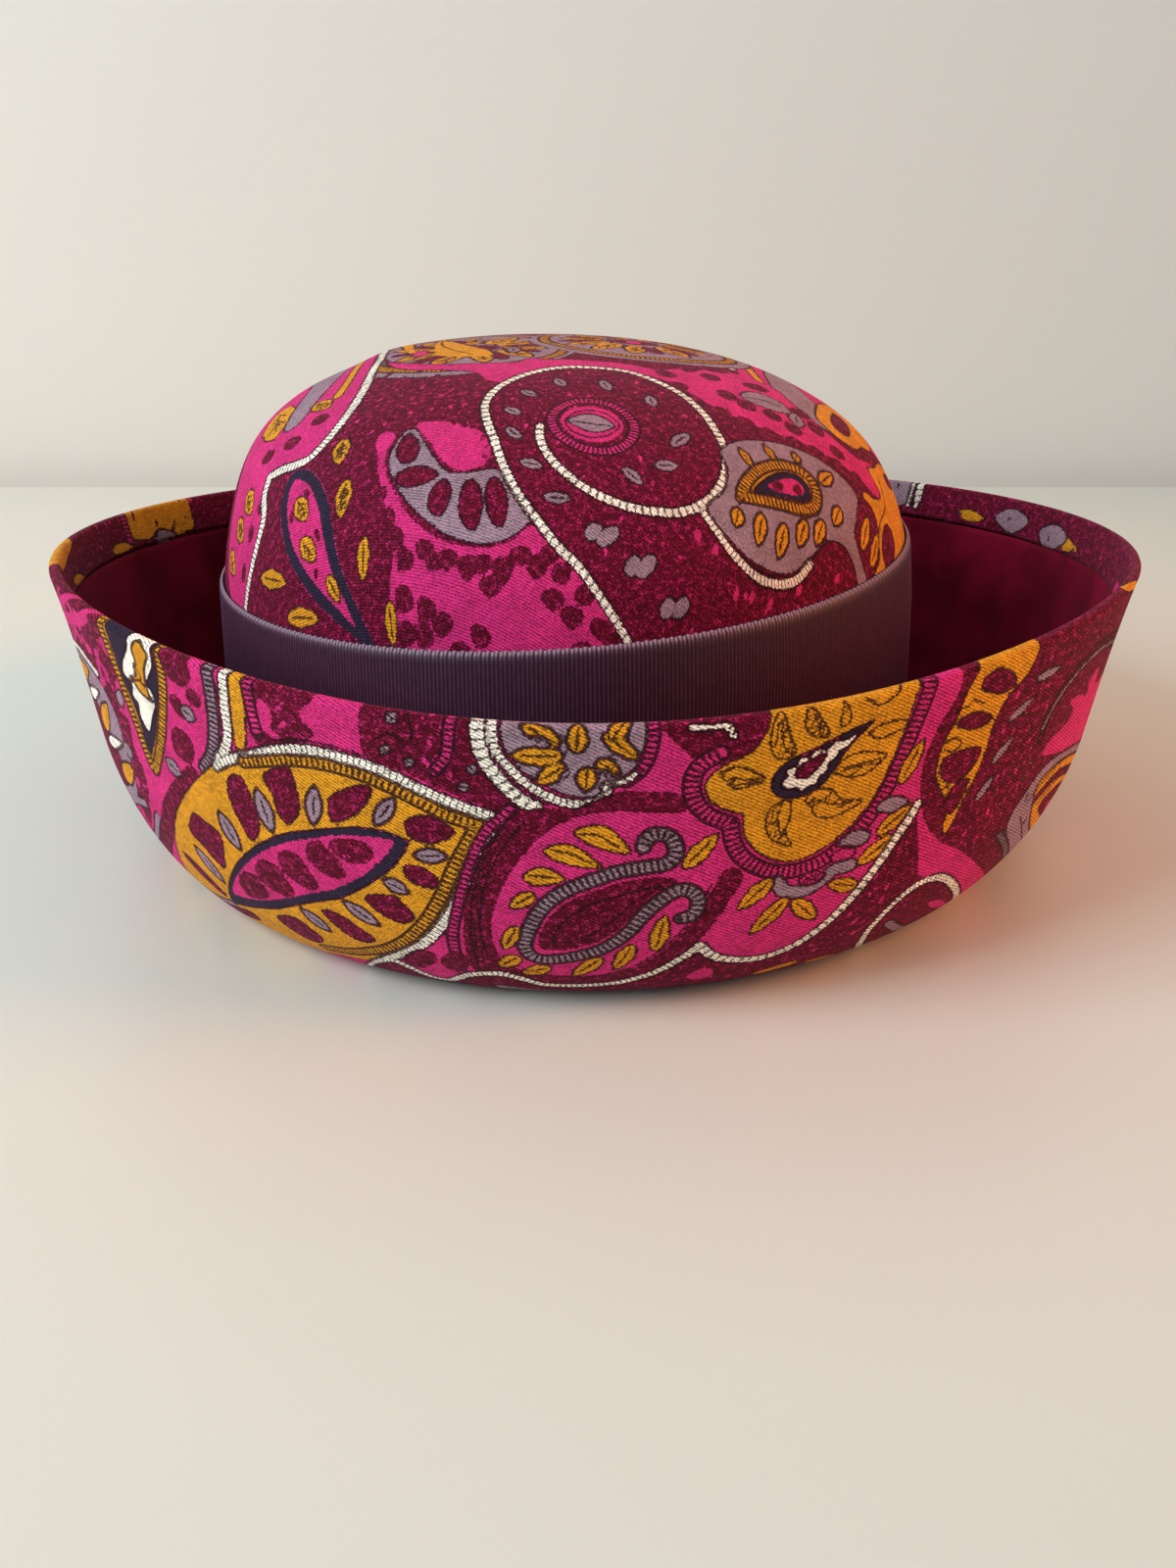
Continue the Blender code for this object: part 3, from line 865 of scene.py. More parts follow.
def draw(cloth, strokes, move=(0.0, 0.0), turn=0.0, scale=1.0):
    """Draws strokes (kind, ink, size, outlines with / between them) after a turn in degrees, a scaling
    and a move."""
    angle = math.radians(turn)
    matrix = scale * np.array([[math.cos(angle), math.sin(angle)], [-math.sin(angle), math.cos(angle)]])
    for number, (kind, ink, size, text) in enumerate(strokes):
        for part in text.split("/"):
            points = numbers(part) @ matrix + np.array(move)
            closed = kind in ("area", "ring", "loop", "dots", "sprigs")
            if kind in ("petal", "bud", "lens", "leaf", "sketch"):
                for tip, foot in zip(points[::2], points[1::2]):
                    outline, veins = leaf_shape(kind, tip, foot, size * scale)
                    if kind == "sketch":
                        draw_line(cloth, outline, True)
                    else:
                        fill(cloth, ink, outline)
                    for vein in veins:
                        draw_line(cloth, vein, False)
                continue
            outline = smooth(points, closed)
            if kind == "area":
                fill(cloth, ink, outline)
            elif kind in BAND_PITCHES:
                draw_band(cloth, ink, outline, size * scale, closed, BAND_PITCHES[kind])
            elif kind in ("line", "loop"):
                draw_line(cloth, outline, closed)
            else:
                scatter(cloth, kind, ink, size * scale, outline, 7 + number)


def keep_print(mesh, cloth):
    """Stores the depths and line distances of a cloth on its mesh."""
    for name in KEPT_NUMBERS:
        store(mesh, name, cloth[name])


print("inks on the pink ground:", INKS)

# %% [markdown]
# ## The print of the brim
#
# The front of the brim is charted in millimetres: across from the middle of the front, positive to the
# right, and up from the middle of the ring that the hat rests on. The rim lies about 80 mm up, and what
# is charted above it folds over inside as the hem. Large shapes come first, and smaller ones are painted
# over them: a big ochre boteh with an almond in it, a half medallion at the rim, a pink boteh with a
# curled tail, and a heart with a pear drop. Each row of a table is a stroke: its kind, its ink, its size
# in millimetres and its points, with / between outlines. A point written twice is a sharp corner.

# %% Left end of the brim
LEFT_END = [
    ("area", "burgundy", 0, "-150,96 -135,96 -118,95 -110,86 -107,76 -106,66 -105,54 -103,46 -106,38 "
     "-114,30 -125,22 -140,15 -160,11 -184,10 -196,28 -192,52 -188,78 -176,94"),
    ("sprigs", "pink", 6.2, "-150,78 -112,80 -104,60 -100,46 -108,36 -125,26 -150,18 -160,40"),
    ("stripe", "pink", 3.0, "-160,66 -146,72 -130,76.5 -116,80 -106,86"),
    ("stripe", "pink", 2.0, "-168,58 -158,67 -142,76 -124,83 -112,91"),
    ("area", "lilac", 0, "-138,68 -128,68 -118,66 -112,60 -110,50 -111,42 -116,37 -128,31 -140,26 -152,26 "
     "-164,34 -167,46 -160,58 -150,65"),
    ("area", "burgundy", 0, "-138,63 -130,60 -124,54 -118,47 -116,42 -122,38 -134,35 -146,34 -156,38 "
     "-160,46 -152,55"),
    ("band", "cream", 1.8, "-167,50 -160,58 -152,63 -143,66.5 -135,68.6 -126,69.2 -117,67.2"),
    ("stripe", "lilac", 2.2, "-150,22 -142,26 -134,29 -126,32.5 -118,36 -109,38.5"),
    ("petal", "ochre", 5.5, "-125,65.5 -142,61 -116,60.5 -127,51 -109,47.5 -120,41 -167,43.5 -150,46 "
     "-162,27 -144,30"),
    ("petal", "cream", 3.0, "-120,62 -134,57 -112,52 -126,48 -150,53 -162,48"),
    ("petal", "ochre", 4.0, "-150,57 -163,50 -141,40 -157,37"),
    ("area", "ochre", 0, "-196,8 -184,10.5 -165,9.5 -150,11 -134,13.5 -120,16.5 -112,19 -108,14 -114,6 "
     "-130,4 -150,5 -170,3 -196,-3"),
    ("stripe", "burgundy", 2.4, "-160,4 -146,6.5 -130,8 -116,10.5"),
    ("stripe", "lilac", 3.0, "-130,21 -120,24 -110,30 -103,37"),
    ("area", "ochre", 0, "-176,72 -168,75 -158,78 -150,82 -152,88 -166,88 -178,84"),
    ("stripe", "burgundy", 5.0, "-122,20 -112,25 -101,34.5 -95,42 -88,49 -82,54"),
    ("dots", "pink", 2.8, "-112,80 -103,80 -101,52 -95,44 -104,36 -112,46"),
    ("petal", "burgundy", 6.0, "-103,74 -109,70 -104,60 -109,57 -103,50 -108,46 -106,84 -109,79"),
    ("petal", "lilac", 3.4, "-104,67 -107,63 -111,53 -108,50"),
]

# %% Teardrop and ladders left of the boteh
TEARDROP = [
    ("area", "ochre", 0, "-105,94 -104,84 -103,78 -102,70 -100.5,62 -98.5,54 -97,50.5 -94,53 -91,59 -88,66 "
     "-85.5,73 -84,80 -83,88 -83,94"),
    ("band", "ochre", 2.6, "-105,92 -104.4,80 -102.6,71 -100.7,62 -98.5,53 -96.8,51 -94.5,54 -90.5,60.5 "
     "-87.3,68 -85,75 -83.8,84 -83.5,92"),
    ("area", "navy", 0, "-102.5,92 -102,80 -101,72 -98.7,64 -97.9,57.5 -97,54.5 -95.3,56.5 -92.3,61 "
     "-89.3,67 -86.7,74 -85.6,82 -85.6,92"),
    ("area", "cream", 0, "-91,90 -94.5,80 -96.5,77.5 -98.8,74.8 -99.6,72.3 -97.2,70.4 -98.3,67.6 "
     "-96.6,66.2 -97.2,63.4 -95.6,60.4 -94.3,61.2 -92.4,64.2 -90,67.6 -89.9,70.5 -91.3,72 -89.6,74.3 "
     "-87,78.5 -86.8,90"),
    ("area", "ochre", 0, "-98,71.6 -96,71 -94.5,69.3 -91.5,68.3 -90.2,68.4 -91.3,70.2 -91.2,72.5 -90.6,75 "
     "-89.6,76.8 -88,79.4 -90.4,82 -93.4,79.6 -93.3,76.3 -94.8,75.3 -94.6,73.4"),
    ("line", "", 0, "-96.6,71.5 -94.5,72 -92,71.4 -91,69.5/-94,75.5 -92.7,73.4 -92.3,71.5"),
    ("bud", "burgundy", 8.0, "-81,84 -79,74.5"),
    ("bud", "burgundy", 7.0, "-84.3,56.8 -82.3,64.5"),
    ("bud", "burgundy", 4.0, "-83.6,72 -79.8,67.2 -75.5,74.5 -77.5,71"),
    ("lens", "lilac", 3.6, "-91,55.5 -86.2,52.6 -81.2,69.6 -77.3,67.8"),
    ("band", "lilac", 2.7, "-71,92 -71.3,80 -71.8,72 -72.9,65.5 -75,60.5 -78,57"),
    ("band", "cream", 2.0, "-67.2,92 -67.5,80 -68.4,73 -69,67 -70.6,63.2 -73,60.6"),
    ("area", "ochre", 0, "-66,92 -66.4,80 -67.3,70 -67.3,64.3 -65,65 -64,70 -62.4,80 -61.4,92"),
    ("area", "burgundy", 0, "-61.6,92 -62.6,80 -63.5,73 -62.5,66.5 -58,66 -52,68.8 -49,71 -51.3,73.4 "
     "-51,76 -48.5,79 -47,92"),
    ("area", "pink", 0, "-60,76 -60.5,71 -58.6,68.5 -56,68.6 -58.2,70.4 -57.9,73 -59,76.2"),
    ("dots", "pink", 2.4, "-60,90 -60.5,80 -58,71 -52,71 -51,76 -49,90"),
    ("band", "pink", 2.4, "-60.9,92 -62.2,78 -61.6,68.4"),
    ("line", "", 0, "-59.7,67.3 -55,68.8 -50,69.3 -45,69 -40,68.2"),
    ("area", "burgundy", 0, "-39,92 -39.4,80 -40.2,74 -39.3,67.6 -33,66 -27,63.4 -20,60.8 -13,58 -9,60 "
     "-14,65 -18,71 -19.5,79 -19.5,92"),
    ("lens", "lilac", 2.2, "-35,77.5 -33.2,75.8 -36.5,70.5 -35,69.4 -32.3,68.5 -30.7,67.5 -21.3,68.5 "
     "-19.8,67 -23,64.5 -21.4,63.5"),
    ("line", "", 0, "-37,72 -35,73.5 -33,72.5/-31.5,78 -30.5,74 -32,71.5/-28.5,69.5 -26.5,67.5"),
    ("dots", "pink", 2.8, "-31,88 -31,70 -26,66 -22,66 -22,88"),
    ("band", "pink", 2.0, "-23.6,92 -23.8,80 -24.3,75 -25,70 -27.2,66.6"),
]

# %% Big ochre boteh
BIG_BOTEH = [
    ("area", "ochre", 0, "-76,58 -71,61.6 -63,65 -55,67 -48,67.8 -40,67.2 -33,65 -27,62 -20,59.6 -15,58 "
     "-15,58 -17.5,54.5 -20,50 -22,45 -24.5,39 -28,32.5 -32,27 -36.5,22 -42,18 -50,14.5 -60,12 -68,7 "
     "-85,5.5 -100,7 -114,13 -114,13 -106,21 -102,27 -97,35 -91,43.5 -84,51"),
    ("stripe", "burgundy", 3.4, "-104,12 -92,14.5 -80,18"),
    ("stripe", "lilac", 2.2, "-102,16.5 -94,17 -86,19"),
    ("band", "cream", 2.1, "-74,58.6 -70.5,60.8 -65,63 -60,65 -55,66.6 -50,67.3 -45,67 -40,66.3 -35,64.8 "
     "-30,62.6 -25,60.6 -20,59 -15.5,57.8 -15.5,57.8 -17.2,55.2 -19.6,51 -22,46.3 -24,41 -26.2,36 -29.2,31 "
     "-33,26.2 -37,22.6 -41,19.5 -44,17 -48,13 -52,8 -55,4"),
    ("band", "ochre", 2.5, "-66.5,61.4 -60,63.2 -55,64.4 -50,64.9 -45,64.7 -40,63.8 -35,62.1 -30,59.9 "
     "-25.5,57.8 -20,56.2 -20,56.2 -22.2,51.8 -24.6,46.8 -26.6,41.8 -29,36.8 -32.2,31.6 -36.2,26.8 "
     "-41,22.8 -46,20 -52,17.4 -60,15.2"),
    ("area", "burgundy", 0, "-70.6,57.4 -67.4,57.6 -65.7,53 -64.9,48 -66.4,44.4 -68,43.6 -69.6,46 -71.3,50 "
     "-72,54/-58.6,62 -56.5,62.9 -55.2,62 -54.5,58 -54.4,54 -56,51.3 -57.5,49.9 -59.1,50.8 -60,53 -60.4,56 "
     "-62,58.5 -61.4,60.2/-47.6,58 -44.5,60.3 -41,61.8 -38.9,61.5 -40,58.4 -42.5,55.4 -45.5,53.4 "
     "-47.7,52.7 -48.1,55.3/-32.9,55.9 -30,57.1 -27.4,57.2 -24.2,54.5 -26,52.5 -28.5,51.4 -31.6,51.7 "
     "-33.1,53.5/-34.4,45.4 -32,46.1 -29.4,45.4 -27.5,43.4 -28.6,41.6 -31,41.7 -33.4,42.8/-42.9,37 "
     "-39.5,38.1 -36.5,38.2 -34.4,36 -33.2,34 -34.8,31.9 -37.6,31.9 -40.6,33.5 -42.1,35/-54.1,30.1 "
     "-51.5,30.8 -48.4,29.7 -46,27.6 -43.4,25.4 -44.5,23.6 -47.6,23.2 -50.4,25 -52.6,27.5/-69.2,22.6 "
     "-65,24.8 -61.8,24.8 -59.3,22.2 -57.8,20 -60,17.4 -63,16.8 -66.2,18.4 -68.2,20.4/-86.7,42.6 "
     "-84.5,44.9 -81.4,43.9 -77.8,42.8 -77,40.4 -78,36.4 -79.5,32.8 -82.1,34 -84.6,36.5 -88.2,39.2/"
     "-97.2,30.3 -93.5,29.6 -90,27 -86.3,22.4 -88.4,21.2 -92.1,23.8 -95.7,27"),
    ("lens", "lilac", 4.0, "-76.2,48 -71.7,39.9 -64.2,56.4 -61.8,46.8 -88.8,35.4 -82.6,27.2"),
    ("lens", "lilac", 3.5, "-50.4,60 -52,51 -41,29.6 -48.2,34.6 -53.8,23.8 -59.8,29"),
    ("lens", "lilac", 3.1, "-34.8,60.2 -39,53.6 -25.6,49.1 -32.2,48.3 -33.6,39.6 -38.6,42"),
    ("area", "navy", 0, "-32.6,51.3 -32.6,51.3 -37,52.6 -42,52.6 -47,51.5 -53,49.7 -59,47.5 -65,43.9 "
     "-70,40 -75,35.2 -80,29.2 -84,23.6 -86,19.6 -86,19.6 -80,21.5 -75,23.2 -68,25.8 -62,28.8 -55,32.3 "
     "-48,35.4 -42,39.8 -37,44.3 -34.2,48"),
    ("area", "pink", 0, "-35.4,51 -35.4,51 -41,50.9 -47,49.9 -53,47.9 -59,45.5 -65,42 -70,38 -75,33.3 "
     "-79,28.8 -82.2,24.4 -82.2,24.4 -76,25.6 -69,27.9 -62,31.1 -55,34.5 -49,37.4 -43,41.6 -39,45.6 "
     "-36.4,48.8"),
    ("area", "burgundy", 0, "-48.2,48.8 -44,49.7 -41,49.4 -39.7,47 -41,45.3 -44,44.1 -46.8,45 -48.8,46.8/"
     "-54,46.4 -51,47.9 -49.6,46.6 -47.3,44 -46,41.2 -49,39.7 -52.4,41.1 -54.4,43.4/-61.6,42 -59,43.8 "
     "-56,43 -54.3,40 -52.8,37 -54.4,35.4 -58,36 -61,38.4/-68.7,37.2 -66,39.7 -62.6,39.2 -60.6,36 -59.7,33 "
     "-62.5,31.2 -66,31.9 -68.8,34.4/-76.3,30.8 -73,34.2 -70,34.6 -67.9,31.6 -67.8,29.4 -71,27.4 "
     "-75.4,26.8"),
]

# %% Half medallion and the burgundy road beside the pink boteh
MEDALLION = [
    ("area", "lilac", 0, "-15.5,90 -15.7,79 -15.3,73.5 -13,69 -8.5,65.4 -3,63.2 1.5,64 4.5,66.5 7.3,70.5 "
     "8.2,75 8,90"),
    ("band", "pink", 2.2, "9,90 9.2,79 8.9,73 7.3,68.6 4.8,66.4"),
    ("beads", "cream", 2.2, "-19.8,90 -19.6,79 -19.2,72 -17.5,68 -15,64.7 -12.4,62 -10,60.9"),
    ("band", "cream", 1.5, "-17.2,90 -17.1,78 -16.6,72.5 -14.6,69 -11.6,65.6 -8,63.2 -4,61.8 0,62.4 1.9,64 "
     "1.6,65.4"),
    ("stripe", "cream", 0.9, "2.3,66 4,66.4 5.6,67 6.5,68.2"),
    ("leaf", "ochre", 4.2, "-14.4,71 -5.2,71.4"),
    ("leaf", "ochre", 3.7, "-9.9,65.6 -5,69.6 -1.6,64.2 -1.5,69.4 -12.6,77.6 -5.8,73.6 -3,78.4 -3.2,72"),
    ("leaf", "ochre", 3.3, "4,67.6 0,70.8 7.2,70.6 1,76.2 5.5,80 2.2,74.6"),
    ("lens", "lilac", 2.2, "-11,74.8 -7.4,73.2 -5.6,66 -4,68.6 2.2,66 1,69"),
    ("area", "burgundy", 0, "-13,60 -16.5,56 -20,49.5 -22.8,40 -24,30 -23.5,21 -21,14 -16,13.5 -15.3,21 "
     "-18,27 -18.6,34 -16.8,41.5 -13.3,49 -8.5,55.5 -2.5,59.3 4,60.4 10,60.1 15,60.2 15.2,63.6 9,64.4 "
     "3.5,64.4 -3,61.3 -9,60.6"),
    ("line", "", 0, "-15.5,56.5 -19,49.5 -21.5,41 -22.5,31 -22,20/-12,57.8 -16.3,51 -19.3,43 -20.6,34 "
     "-19.8,24"),
    ("band", "pink", 2.2, "-14.5,60 -18.5,55.2 -21.7,48 -24.4,38.5 -26.2,30 -26,18"),
    ("bud", "burgundy", 5.4, "-31,24 -38,17.5 -24.6,25 -29,18.4"),
    ("area", "burgundy", 0, "9.8,92 10,79 11.8,75.7 14.8,72.2 18,69.8 22,69.4 25.4,71 27.6,74 28.6,79 "
     "29,92"),
    ("stripe", "cream", 1.0, "15.5,77.2 18.5,77 21.3,77.2 22.6,75.2"),
]

# %% Pink boteh with a curled tail
PINK_BOTEH = [
    ("stripe", "burgundy", 4.4, "-19,22.5 -15,19.5 -10,17.6 -4,17.2 2,17.8 7,19.4 12,23 16,28 19.5,34 "
     "22,40 24.3,45.5"),
    ("line", "", 0, "-13,21.5 -8,19.8 -3,19.5 3,20.3 8,23 12,27 15.5,32 18.5,38 20.5,44"),
    ("area", "burgundy", 0, "14.6,45.6 10,46.4 4,45.2 -2,42.6 -6.6,39 -9.2,34 -9.7,29.2 -6,28.4 0,30.4 "
     "4,33.8 8,38.8 12,42.8"),
    ("line", "", 0, "12,44.6 6,43 0,40.6 -4.6,37 -7,32.6 -6.4,30.4 -1,32.6 3,36.2 7,41"),
    ("band", "lilac", 2.7, "8.3,53 9,55 11,55.7 13,54.7 14,52 13,49.6 10,48.8 5,48 0,46 -5,43.4 -9,39.5 "
     "-11.5,34 -12.5,29 -11,26 -8,25.3 -3,26.6 2,29 6,33 9,38 12,41.5 15,43.5 17.5,42.8 18.7,40.5 18,37.5 "
     "16,36.8"),
    ("area", "ochre", 0, "-3.6,56.2 -1,57.4 2,57.2 4.2,55 6.3,51.6 3,52 0,53 -2.6,54.6/-8.8,52 -6,53.4 "
     "-3,52.8 -0.4,50.6 1.4,48.5 -2,48.6 -5,49.2 -7.6,50.4/-12.4,46.2 -10,48.1 -7.5,47.9 -5.1,45.8 -8,44.6 "
     "-11,44.5"),
    ("line", "", 0, "-2.4,55.6 0.6,55.4 3.6,53.2/-7,52 -3.6,51.2 -1,49.6/-11,46.4 -7,46.2"),
    ("leaf", "ochre", 3.2, "-15,38.8 -10.4,42.4 -16.6,27.6 -13.7,34.4"),
    ("leaf", "ochre", 3.6, "-18,21.8 -13.6,25.8 -13.4,19.8 -7.6,22.8"),
    ("leaf", "ochre", 3.5, "-3.4,19.6 2.2,26.4 4.8,22 7.6,30.2 12.8,38 12,28 21.3,55.4 15.4,48.2"),
]

# %% Heart with a pear drop
HEART = [
    ("area", "ochre", 0, "29.4,90 28.6,78 27.4,74 25.5,71.4 22,69.8 18.6,66.6 18.8,63 21.3,60.6 25.4,59 "
     "25.4,59 25.9,54.6 28.4,51 32,48.6 36,47.9 40,49.1 44,51.6 48,55.6 51,60.2 53,66 54.6,72 56,80 57,90"),
    ("band", "pink", 3.0, "20.5,71.8 17.2,69.5 16,66 16.7,62.3 19.2,59.2 23.2,57.2 23.2,57.2 24.2,52.6 "
     "26.7,49 31,46.4 36,45.7 41,46.9 46,50.4 50.5,55.4 53.6,61.6 55.6,68 57.1,74 58.4,80 59.4,90"),
    ("area", "navy", 0, "48.4,76.2 48.4,76.2 43,74.2 38,71.8 33,69.6 30.3,66.6 30.3,63.4 32.9,61.6 "
     "36.5,61.9 39.7,64 41.8,67.4 44,71.4 48.4,76.2"),
    ("area", "cream", 0, "46,74.4 46,74.4 42.9,72.5 40.6,72.4 39.9,71 37.5,71.2 36.6,69.8 34.8,69.9 "
     "34.2,68 32.4,67.6 32.9,66 31.6,65 33.2,63.5 34.5,63.9 35.6,62.8 37,64 38.2,63.9 38.7,65.8 40.2,66.4 "
     "40,68.2 41.8,69.2 41.6,70.4 43.6,71.4 46,74.4"),
    ("area", "burgundy", 0, "39.9,70.4 36.8,69.6 34.2,67.6 34,65.9 36.4,65.3 38.6,67.5"),
    ("loop", "", 0, "20.8,67.8 23.8,68.8 26.4,67.8 28.8,65.9 26,64.9 23.4,64.5 21.8,66.2/41.4,66.4 43.8,69 "
     "47.6,69.5 51.8,68.3 50,66.2 47.4,64.6 43.8,64.9/36.6,60.9 38.8,62.9 42,62.1 43.8,60 48.2,59.1 "
     "45.2,57.4 42,56.4 38.9,57.3 37.9,59.4/30.9,60.4 33.6,61.4 34.1,57.6 33.4,54.6 34.9,51.3 31.4,52.9 "
     "29.8,55.4 29.8,58.4/29.2,77 30.7,79.4 32.6,74 33.8,70.9 31,69.8 29.2,72.4/34.9,76.4 35.6,80 38.7,76 "
     "39.7,73.9 37,74.1/41.8,80.6 43.4,76.6 41.6,75.6/47.4,73.4 50,74.9 54,75.2 55.9,74.1 52,72.5 49.5,72"),
    ("line", "", 0, "23,66.8 25,66.2 27.4,66.1/43.4,66.8 46.6,67.1 50,67.6/45.4,67 46.6,65.8/38.2,60.8 "
     "41,59.6 45.4,58.6/40.8,59.7 40.6,61.2/32,60 31.8,57 32.8,53.4/31.8,57 30.8,56.4/30.8,77 31.2,73.4 "
     "32.6,71/36.4,78 38.2,75/46,80.6 48.8,79 52.4,81.4 53.8,84"),
    ("leaf", "ochre", 3.6, "59.8,70.4 55.8,61.2"),
]

# %% Pink field under the heart and its scalloped line
HEART_FIELD = [
    ("area", "lilac", 0, "51.5,56.5 53.5,58.6 57,58.3 59,56.3 55.5,55.2/44.5,50.3 47.5,52.6 51,51.7 "
     "50.3,49.4 47,49.2"),
    ("stripe", "lilac", 2.8, "33,43.6 35,41.2 38.7,40.6 42,42.3 44.5,44.6 48,45"),
    ("bud", "pink", 3.2, "42.8,43.8 37,43 48.8,47.8 43,48.3"),
    ("loop", "", 0, "37.3,43.4 40,45 42.8,43.9 41.5,42.2 38.8,42/43.3,47.8 45.8,49.2 48.6,48.2 47,46.3 "
     "44.5,46.2/38.8,43.4 40.4,43.9 41.4,43.2 39.8,42.8"),
    ("leaf", "ochre", 3.7, "26.2,37.8 32.3,44.6 29.8,30.6 36,39.8 43.6,32.4 37,38.8"),
    ("leaf", "ochre", 3.6, "43.6,41.6 50.8,39.4 57.6,50.4 49.3,44.8 60,56.3 52.6,50.8"),
    ("area", "burgundy", 0, "61,55 57,48 53.8,42 50.6,36.4 47.3,31.2 44,27.2 40,23.8 35,22.1 30.3,22.6 "
     "26,24 23,26 20.5,28.8 20.5,28.8 17,24.5 13,20.3 9,17.6 5,15.8 0,14.8 -6,14.6 -12,16.6 -17,18.8 "
     "-21,18.4 -25,16.6 -29,12 -34,12 -38,15.6 -42,18 -47,14 -51,8 -54,-2 66,-4 140,-4 140,6 118,8 "
     "104,14.5 92,23.5 84,30 77,34.6 71,36.6 66.5,38 64.5,43 62.5,50"),
    ("dots", "pink", 4.2, "52,38 60,50 61,40 58,28 58,16 40,12 20,14 40,21 48,29"),
    ("area", "pink", 0, "20.5,18.5 22.6,20.6 25.2,20 26.2,17 24,15.4 21,16.4"),
    ("bud", "ochre", 3.4, "47,16.5 37,13 60,12 50,14"),
    ("area", "lilac", 0, "-20,12 -8,10 6,9 16,10 14,5 0,4.5 -14,5"),
    ("band", "cream", 1.7, "-46.5,15.5 -42,18.2 -38,16 -34,12 -30.5,11.5 -28,13.8 -25,16.7 -21,18.4 "
     "-17,18.8 -12.5,16.8 -9,14.9 -5,14.7 0,15 5,16 9,17.8 13,20.5 17,24.6 20.5,28.9"),
    ("beads", "cream", 1.9, "20.5,28.9 23,26 26,24 30.3,22.6 35,22.2 40,24 44,27.4 47.2,31.4 50.4,36.8 "
     "53.5,42.4 56.8,48.2 59.5,52.5 61.3,55.8"),
]
# The grey shape, the stripe, the buds and the leaves beside the heart are drawn again at the back
HEART_LEAVES = HEART_FIELD[:6]

